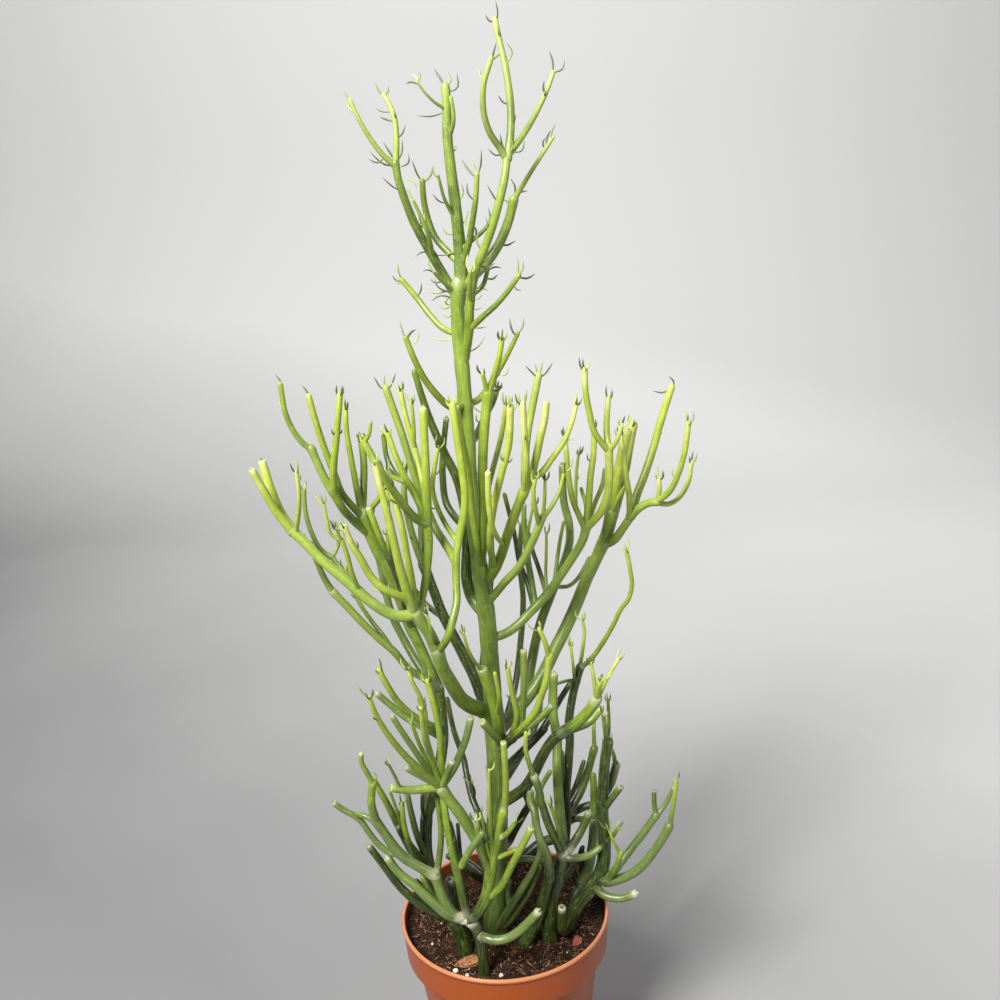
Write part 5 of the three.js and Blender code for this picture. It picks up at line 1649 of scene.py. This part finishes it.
def draw_rings(start: Pair, rings: list[Pair]) -> None:
    """Extrude the selected edges from ring to ring round the pot's axis, and close the last ring.

    Args:
        start: The radius and the height of the selected ring, in millimetres.
        rings: The radius and the height of each further ring.
    """
    radius, height = start
    for wider, higher in rings:
        bpy.ops.mesh.extrude_edges_move()
        bpy.ops.transform.translate(value=(0.0, 0.0, (higher - height) * MM))
        grown = (wider / radius, wider / radius, 1.0)
        bpy.ops.transform.resize(value=grown, center_override=(0.0, 0.0, 0.0))
        radius, height = wider, higher
    bpy.ops.mesh.edge_face_add()
    bpy.ops.mesh.select_all(action="SELECT")
    bpy.ops.mesh.normals_make_consistent(inside=False)
    bpy.ops.object.mode_set(mode="OBJECT")


@dataclass
class NurseryPot:
    """The thin-walled pot, drawn up ring by ring, with its rolled rim, lip and drain holes."""

    finish: bpy.types.Material
    sides: int = 128
    drain_sides: int = 28
    wall: float = 1.8
    crease: float = math.radians(38)

    def shell(self) -> bpy.types.Object:
        """Draw the closed shell up from its underside.

        Returns:
            The shell as an object.
        """
        deselect_all()
        heart = 0.35 * BODY_FOOT_RADIUS
        start = (heart, 1.2)
        bpy.ops.mesh.primitive_circle_add(vertices=self.sides, radius=start[0] * MM,
                                          fill_type="NGON", location=(0.0, 0.0, start[1] * MM))
        piece = bpy.context.object
        piece.name = "nursery_pot"
        bpy.ops.object.mode_set(mode="EDIT")
        bpy.ops.mesh.select_mode(type="EDGE")
        bpy.ops.mesh.select_all(action="SELECT")
        draw_rings(start, [*rings_of(POT_PROFILE), (heart, 3.0)])
        bpy.ops.object.transform_apply(location=True, rotation=True, scale=True)
        return piece

    def drain(self, piece: bpy.types.Object) -> None:
        """Cut the ring of drain holes through the floor.

        Args:
            piece: The shell.
        """
        for index in range(DRAIN_HOLES):
            angle = math.tau * index / DRAIN_HOLES
            x, y = math.cos(angle) * DRAIN_CIRCLE * MM, math.sin(angle) * DRAIN_CIRCLE * MM
            deselect_all()
            bpy.ops.mesh.primitive_cylinder_add(vertices=self.drain_sides, radius=DRAIN_RADIUS * MM,
                                                depth=0.02, location=(x, y, 0.0))
            cutter = bpy.context.object
            choose(piece)
            cut = piece.modifiers.new("drain", "BOOLEAN")
            cut.operation, cut.solver, cut.object = "DIFFERENCE", "EXACT", cutter
            bpy.ops.object.modifier_apply(modifier=cut.name)
            bpy.data.objects.remove(cutter)

    def build(self) -> bpy.types.Object:
        """Model and dress the pot.

        Returns:
            The finished piece.
        """
        piece = self.shell()
        self.drain(piece)
        self.mark_inside(piece.data)
        choose(piece)
        bpy.ops.object.shade_smooth_by_angle(angle=self.crease)
        dress(piece, self.finish, "pot")
        LOG.info("pot: %d faces", len(piece.data.polygons))
        return piece

    def mark_inside(self, mesh: bpy.types.Mesh) -> None:
        """Write the attribute inside: 1 on the pot's inner side and 0 elsewhere.

        Args:
            mesh: The pot's mesh.
        """
        places = np.zeros(len(mesh.vertices) * 3)
        mesh.vertices.foreach_get("co", places)
        x, y, z = places.reshape(-1, 3).T / MM
        lip = POT_HEIGHT - BAND_HEIGHT
        body = BODY_FOOT_RADIUS + (BODY_TOP_RADIUS - BODY_FOOT_RADIUS) * z / lip
        outer = np.where(z > lip + 0.6, RIM_RADIUS - self.wall, body)
        inside = (np.hypot(x, y) < outer - 1.0) & (z > 2.5) & (z < POT_HEIGHT - 0.7)
        marks = mesh.attributes.new("inside", "FLOAT", "POINT")
        marks.data.foreach_set("value", inside.astype(float))


@dataclass
class SoilBed:
    """The block of peat with its crumbly top, which closes round the stems."""

    finish: bpy.types.Material
    cells: int = 168
    gap: float = 0.5
    crease: float = math.radians(60)

    def build(self) -> bpy.types.Object:
        """Model and dress the soil.

        Returns:
            The finished piece.
        """
        deselect_all()
        edge = RIM_RADIUS - 3.3 - self.gap
        bpy.ops.mesh.primitive_grid_add(x_subdivisions=self.cells, y_subdivisions=self.cells,
                                        size=2 * edge * MM, location=(0.0, 0.0, 0.0))
        piece = bpy.context.object
        piece.name = "peat_bed"
        self.round_off(piece, edge)
        bpy.ops.object.mode_set(mode="EDIT")
        bpy.ops.mesh.select_mode(type="EDGE")
        bpy.ops.mesh.select_all(action="SELECT")
        bpy.ops.mesh.region_to_loop()
        rings = [(radius - self.gap, height) for radius, height in rings_of(SOIL_PROFILE)]
        draw_rings((edge, POT_HEIGHT - SOIL_DROP), rings)
        self.crumble(piece)
        bpy.ops.object.shade_smooth_by_angle(angle=self.crease)
        dress(piece, self.finish, "soil")
        LOG.info("soil: %d faces", len(piece.data.polygons))
        return piece

    def round_off(self, piece: bpy.types.Object, edge: float) -> None:
        """Draw the square grid in to a disc at the height of the soil.

        Args:
            piece: The grid.
            edge: The disc's radius in millimetres.
        """
        for vertex in piece.data.vertices:
            x, y = vertex.co.x / MM, vertex.co.y / MM
            square = max(abs(x), abs(y))
            round_ = math.hypot(x, y)
            share = smoothstep(square, 0.25 * edge, edge)
            drawn = 1.0 + share * (square / round_ - 1.0) if round_ > 1e-6 else 1.0
            vertex.co = Vector((x * drawn, y * drawn, POT_HEIGHT - SOIL_DROP)) * MM

    def crumble(self, piece: bpy.types.Object) -> None:
        """Raise and pit the top of the soil.

        Args:
            piece: The soil.
        """
        for vertex in piece.data.vertices:
            if vertex.co.z > (POT_HEIGHT - SOIL_DROP - 0.5) * MM:
                x, y = vertex.co.x / MM, vertex.co.y / MM
                vertex.co.z = crumbled(x, y) * MM


@dataclass
class LooseLitter:
    """Fibres, crumbs and small grains strewn over the soil."""

    finish: bpy.types.Material
    grain_finish: bpy.types.Material
    fibres: int = 2400
    crumbs: int = 1300
    grains: int = 46
    knots: int = 6
    seed: int = 5

    def random_place(self, chance: random.Random, edge: float) -> Pair:
        """A random place on the soil within a radius."""
        radius, turn = edge * math.sqrt(chance.random()), chance.uniform(0.0, math.tau)
        return radius * math.cos(turn), radius * math.sin(turn)

    def fibre_piece(self, chance: random.Random) -> bpy.types.Object:
        """Lay the peat's loose fibres.

        Args:
            chance: The seeded source of chance.

        Returns:
            The fibres as one object.
        """
        strands = []
        steps = self.knots - 1
        for _ in range(self.fibres):
            x, y = self.random_place(chance, RIM_RADIUS - 8.0)
            heading = chance.uniform(0.0, math.tau)
            length, lift = chance.uniform(2.0, 7.5), chance.uniform(0.3, 2.0)
            bend = chance.uniform(-0.9, 0.9)
            line = []
            for k in range(self.knots):
                rise = lift * math.sin(math.pi * k / steps) * chance.uniform(0.6, 1.0)
                line.append((x, y, crumbled(x, y) + 0.25 + rise))
                heading += bend / steps
                x += math.cos(heading) * length / steps
                y += math.sin(heading) * length / steps
            if max(math.hypot(px, py) for px, py, _ in line) > RIM_RADIUS - 4.4:
                continue
            thick = chance.uniform(0.1, 0.28)
            shade = min(max(chance.gauss(0.46, 0.25), 0.05), 1.0)
            radii = np.maximum(np.array([0.0, 0.9, 1.0, 1.0, 0.8, 0.0]) * thick, POINT)
            strands.append(Strand(np.array(line), radii, {"shade": np.full(self.knots, shade)}))
        return strands_to_mesh("peat_fibres", strands, 0)

    def pebble(self, name: str, rough: float, seed: int) -> bpy.types.Object:
        """Model one crumb to be copied: a dented ball about a millimetre in radius.

        Args:
            name: The object's name.
            rough: How deep its dents are.
            seed: The seed of its dents.

        Returns:
            The crumb.
        """
        deselect_all()
        bpy.ops.mesh.primitive_ico_sphere_add(subdivisions=1, radius=MM, location=(0.0, 0.0, 0.0))
        piece = bpy.context.object
        piece.name = name
        bpy.ops.object.mode_set(mode="EDIT")
        bpy.ops.mesh.select_all(action="SELECT")
        bpy.ops.transform.vertex_random(offset=rough * MM, seed=seed)
        bpy.ops.transform.resize(value=(1.0, 0.8, 0.65))
        bpy.ops.object.mode_set(mode="OBJECT")
        return piece

    def strewn(self, name: str, models: list[bpy.types.Object], count: int, chance: random.Random,
               sizes: Pair, shades: Pair) -> bpy.types.Object:
        """Copy crumbs over the soil and join the copies.

        Args:
            name: The joined object's name.
            models: The crumbs to copy.
            count: How many copies are laid.
            chance: The seeded source of chance.
            sizes: The least and the greatest radius in millimetres.
            shades: The least and the greatest shade.

        Returns:
            The joined object.
        """
        copies = []
        for index in range(count):
            model = models[index % len(models)]
            copy = model.copy()
            copy.data = model.data.copy()
            x, y = self.random_place(chance, RIM_RADIUS - 6.0)
            size = sizes[0] + (sizes[1] - sizes[0]) * chance.random() ** 2.2
            turn = Matrix.Rotation(chance.uniform(0, math.tau), 4, "Z")
            turn = turn @ Matrix.Rotation(chance.uniform(-0.6, 0.6), 4, "X")
            place = Vector((x, y, crumbled(x, y) + size * 0.35)) * MM
            copy.data.transform(Matrix.Translation(place) @ turn @ Matrix.Scale(size, 4))
            shade = copy.data.attributes.new("shade", "FLOAT", "POINT")
            shade.data.foreach_set("value", [chance.uniform(*shades)] * len(copy.data.vertices))
            bpy.context.collection.objects.link(copy)
            copies.append(copy)
        choose(*copies)
        bpy.ops.object.join()
        piece = bpy.context.object
        piece.name = name
        return piece

    def build(self) -> list[bpy.types.Object]:
        """Model and dress the litter.

        Returns:
            The loose litter and the loose perlite.
        """
        chance = random.Random(self.seed)
        fibres = self.fibre_piece(chance)
        models = [self.pebble(f"crumb_{k}", 0.55, k + 3) for k in range(5)]
        crumbs = self.strewn("crumbs", models, self.crumbs, chance, (0.4, 2.0), (0.0, 0.45))
        grains = self.strewn("loose_perlite", models, self.grains, chance, (0.4, 1.3), (0.5, 1.0))
        for model in models:
            bpy.data.objects.remove(model)
        paint(fibres, self.finish)
        paint(crumbs, self.finish)
        choose(fibres, crumbs)
        bpy.ops.object.join()
        dress(fibres, self.finish, "")
        dress(grains, self.grain_finish, "")
        LOG.info("litter: %d faces", len(fibres.data.polygons) + len(grains.data.polygons))
        return [fibres, grains]


@dataclass
class PerliteGrain:
    """One larger grain of perlite, where the frame has it."""

    node: str
    finish: bpy.types.Material
    scales: Triple = (1.6, 5.0, 9.0)

    def build(self) -> bpy.types.Object:
        """Model and dress the grain inside its node's box.

        Returns:
            The finished piece.
        """
        low, high = (Vector(corner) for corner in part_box(self.node))
        middle, half = (low + high) / 2, (high - low) / 2
        deselect_all()
        bpy.ops.mesh.primitive_ico_sphere_add(subdivisions=4, radius=1.0, location=(0.0, 0.0, 0.0))
        piece = bpy.context.object
        piece.name = self.node + "_grain"
        seed = Vector((hash_of(self.node) * 40.0, 0.0, 0.0))
        for vertex in piece.data.vertices:
            broad, fine, sharp = (noise.noise(vertex.co * scale + seed) for scale in self.scales)
            lump = 1.0 + 0.22 * broad + 0.1 * fine
            vertex.co = vertex.co * (lump - 0.3 * max(0.0, sharp - 0.15)) * 0.9
            vertex.co = Vector(c * h for c, h in zip(vertex.co, half)) + middle
        choose(piece)
        bpy.ops.object.shade_smooth()
        dress(piece, self.finish, self.node)
        return piece


@dataclass
class BarkChip:
    """A worn chip of bark in layers, lying on the soil."""

    node: str
    finish: bpy.types.Material
    place: Pair
    turn: float
    size: Triple
    taper: float = 0.45
    tilt: float = 0.0
    roll: float = 0.2
    crease: float = math.radians(45)

    def build(self) -> bpy.types.Object:
        """Model and dress the chip.

        Returns:
            The finished piece.
        """
        deselect_all()
        bpy.ops.mesh.primitive_cube_add(size=1.0, location=(0.0, 0.0, 0.0))
        piece = bpy.context.object
        piece.name = self.node + "_worn"
        bpy.ops.object.mode_set(mode="EDIT")
        bpy.ops.mesh.select_all(action="SELECT")
        bpy.ops.mesh.subdivide(number_cuts=15, smoothness=0.0)
        bpy.ops.object.mode_set(mode="OBJECT")
        seed = Vector((hash_of(self.node) * 40.0, 0.0, 0.0))
        length, width, thick = self.size
        for vertex in piece.data.vertices:
            x, y, z = vertex.co
            out = math.hypot(x, y)
            worn = 0.62 + 0.38 * max(abs(x), abs(y)) / out if out > 1e-6 else 1.0
            narrow = 1.0 - (0.18 * (2 * x) ** 2 if x > 0 else self.taper * (-2 * x) ** 1.2)
            layers = 0.5 + 0.1 * noise.noise(Vector((x * 2, y * 2, z * 14)) + seed)
            wander = noise.noise_vector(vertex.co * 3.0 + seed) * 0.07
            vertex.co = Vector((
                (x * worn * (0.9 + 0.2 * layers) + wander.x) * length,
                (y * worn * narrow + wander.y) * width,
                (z * (0.55 + 0.35 * narrow) + wander.z * 1.5) * thick,
            )) * MM
        x, y = self.place
        lie = Matrix.Translation(Vector((x, y, soil_top(x, y) + 0.9)) * MM)
        for angle, axis in ((self.turn, "Z"), (self.tilt, "Y"), (self.roll, "X")):
            lie = lie @ Matrix.Rotation(angle, 4, axis)
        piece.data.transform(lie)
        choose(piece)
        bpy.ops.object.shade_smooth_by_angle(angle=self.crease)
        dress(piece, self.finish, self.node)
        return piece


@dataclass(frozen=True)
class Lamp:
    """One soft square light: its place and its aim in metres, its side, and its power in watts."""

    name: str
    place: Triple
    aim: Triple
    side: float
    power: float
    tint: Colour = (1.0, 1.0, 1.0)

    def hang(self) -> None:
        """Hang the light."""
        deselect_all()
        bpy.ops.object.light_add(type="AREA", location=self.place)
        lamp = bpy.context.object
        lamp.name = self.name
        lamp.data.shape, lamp.data.size = "SQUARE", self.side
        lamp.data.energy, lamp.data.color = self.power, self.tint
        heading = Vector(self.aim) - Vector(self.place)
        lamp.rotation_euler = heading.to_track_quat("-Z", "Y").to_euler()


@dataclass(frozen=True)
class PalePaper(Finish):
    """The matt pale paper of the floor and the wall, with painted shading that makes it darker
    towards the viewer's left, towards the front and lower down.
    """

    name: str = "pale_paper"

    def wire(self, s: Shader) -> None:
        """Wire the paper's material.

        Args:
            s: The shader of the material.
        """
        place = s.place()
        # Painted shading: the paper's colour falls off lower down, towards the front and towards
        # the left, with a soft uneven spread.
        rise = s.maths("MULTIPLY_ADD", s.noise(place, 0.9, 3.0, 0.5), 0.3, s.axis(place, "Z"))
        rise = s.maths("MULTIPLY_ADD", s.axis(place, "Y"), 0.3, rise)
        rise = s.maths("MULTIPLY_ADD", s.axis(place, "X"), 0.32, rise)
        s.colour(s.ramp(rise, [
            (0.1, (0.225, 0.226, 0.23)),
            (0.45, (0.53, 0.53, 0.53)),
            (1.0, (0.77, 0.77, 0.765)),
        ]))
        s.set(Roughness=0.85, Specular_IOR_Level=0.2)


@dataclass
class Studio:
    """The pale floor that sweeps up to a wall, the soft lights and the camera."""

    front: float = -5.0
    wall: float = 2.5
    sweep: float = 0.9
    half_width: float = 6.0
    height: float = 4.5
    bends: int = 12
    dimness: float = 0.12
    lamps: tuple[Lamp, ...] = (
        Lamp("key", (-0.75, -1.15, 1.75), (0.0, 0.05, 0.6), 0.65, 79.0, (1.0, 0.99, 0.97)),
        Lamp("fill", (1.45, -1.1, 0.68), (0.0, 0.0, 0.08), 1.0, 7.0),
        Lamp("back_fill", (0.7, 1.55, 1.25), (0.0, 0.0, 0.3), 1.1, 5.0),
        Lamp("wall_wash", (0.0, 0.9, 2.6), (0.0, 2.4, 0.9), 2.0, 25.0),
    )

    def backdrop(self) -> None:
        """Stand the pot on a pale floor that curves up into a wall."""
        deselect_all()
        bpy.ops.mesh.primitive_plane_add(size=1.0, location=(0.0, 0.0, 0.0))
        floor = bpy.context.object
        floor.name = "backdrop"
        profile = [(self.front, 0.0), (self.wall - self.sweep, 0.0)]
        for k in range(1, self.bends + 1):
            angle = 0.5 * math.pi * k / self.bends
            away = self.wall - self.sweep + self.sweep * math.sin(angle)
            profile.append((away, self.sweep * (1 - math.cos(angle))))
        profile.append((self.wall, self.height))
        verts = [(side * self.half_width, y, z) for y, z in profile for side in (-1, 1)]
        faces = [(2 * k, 2 * k + 1, 2 * k + 3, 2 * k + 2) for k in range(len(profile) - 1)]
        floor.data.clear_geometry()
        floor.data.from_pydata(verts, [], faces)
        floor.data.update()
        choose(floor)
        bpy.ops.object.shade_smooth()
        paint(floor, PalePaper().material())

    def surroundings(self) -> None:
        """Set dim even surroundings, and show colours as they are."""
        world = bpy.data.worlds.new("surroundings")
        world.use_nodes = True
        background = world.node_tree.nodes["Background"].inputs
        background["Color"].default_value = (0.98, 0.99, 1.0, 1.0)
        background["Strength"].default_value = self.dimness
        bpy.context.scene.world = world
        bpy.context.scene.view_settings.view_transform = "Standard"

    def camera(self) -> None:
        """Set up the camera where the photograph's was."""
        deselect_all()
        place = Vector((EYE[0], EYE[1], EYE[2] + POT_HEIGHT)) * MM
        bpy.ops.object.camera_add(location=place)
        camera = bpy.context.object
        camera.name = "camera"
        camera.data.lens, camera.data.sensor_width = CAMERA_LENS, SENSOR_WIDTH
        camera.data.clip_start = 0.02
        pitch = Matrix.Rotation(math.radians(90.0) - CAMERA_PITCH, 4, "X")
        roll = Matrix.Rotation(CAMERA_ROLL, 4, "Z")
        camera.matrix_world = Matrix.Translation(place) @ pitch @ roll
        bpy.context.scene.camera = camera

    def build(self) -> None:
        """Set the stage."""
        self.camera()
        self.backdrop()
        for lamp in self.lamps:
            lamp.hang()
        self.surroundings()


def main() -> None:
    """Build the pot, the soil, the seven cuttings and the litter, and set the stage."""
    logging.basicConfig(level=logging.INFO, format="%(message)s")
    noise.seed_set(NOISE_SEED)
    Studio().build()
    NurseryPot(PotPlastic().material()).build()
    SoilBed(Peat().material()).build()
    skin, leaf = StemSkin().material(), LeafSkin().material()
    colour = SkinColour()
    tables = {
        "tall": (TALL, 11), "front": (FRONT, 23), "left": (LEFT, 37), "rear": (REAR, 41),
        "right": (RIGHT, 53), "edge": (EDGE, 61), "centre": (CENTRE, 71),
    }
    for name, (table, seed) in tables.items():
        Cutting(name + "_cutting", name + "_stem", table, seed, skin, leaf, colour).build()
    white = Mineral("perlite", (0.82, 0.8, 0.72), (0.42, 0.38, 0.3)).material()
    LooseLitter(Litter().material(), white).build()
    for index in range(1, 7):
        PerliteGrain(f"perlite_{index}", white).build()
    orange = Mineral("orange_bark", (0.36, 0.15, 0.06), (0.12, 0.045, 0.02), 420.0).material()
    red = Mineral("red_bark", (0.30, 0.075, 0.05), (0.09, 0.025, 0.02), 420.0).material()
    BarkChip("bark_chip_orange", orange, (-31.5, -52.0), 0.12, (19.0, 9.0, 4.6), 0.8, -0.16).build()
    BarkChip("bark_chip_red", red, (56.0, -36.0), 1.25, (11.0, 7.0, 4.5)).build()


if __name__ == "__main__":
    main()
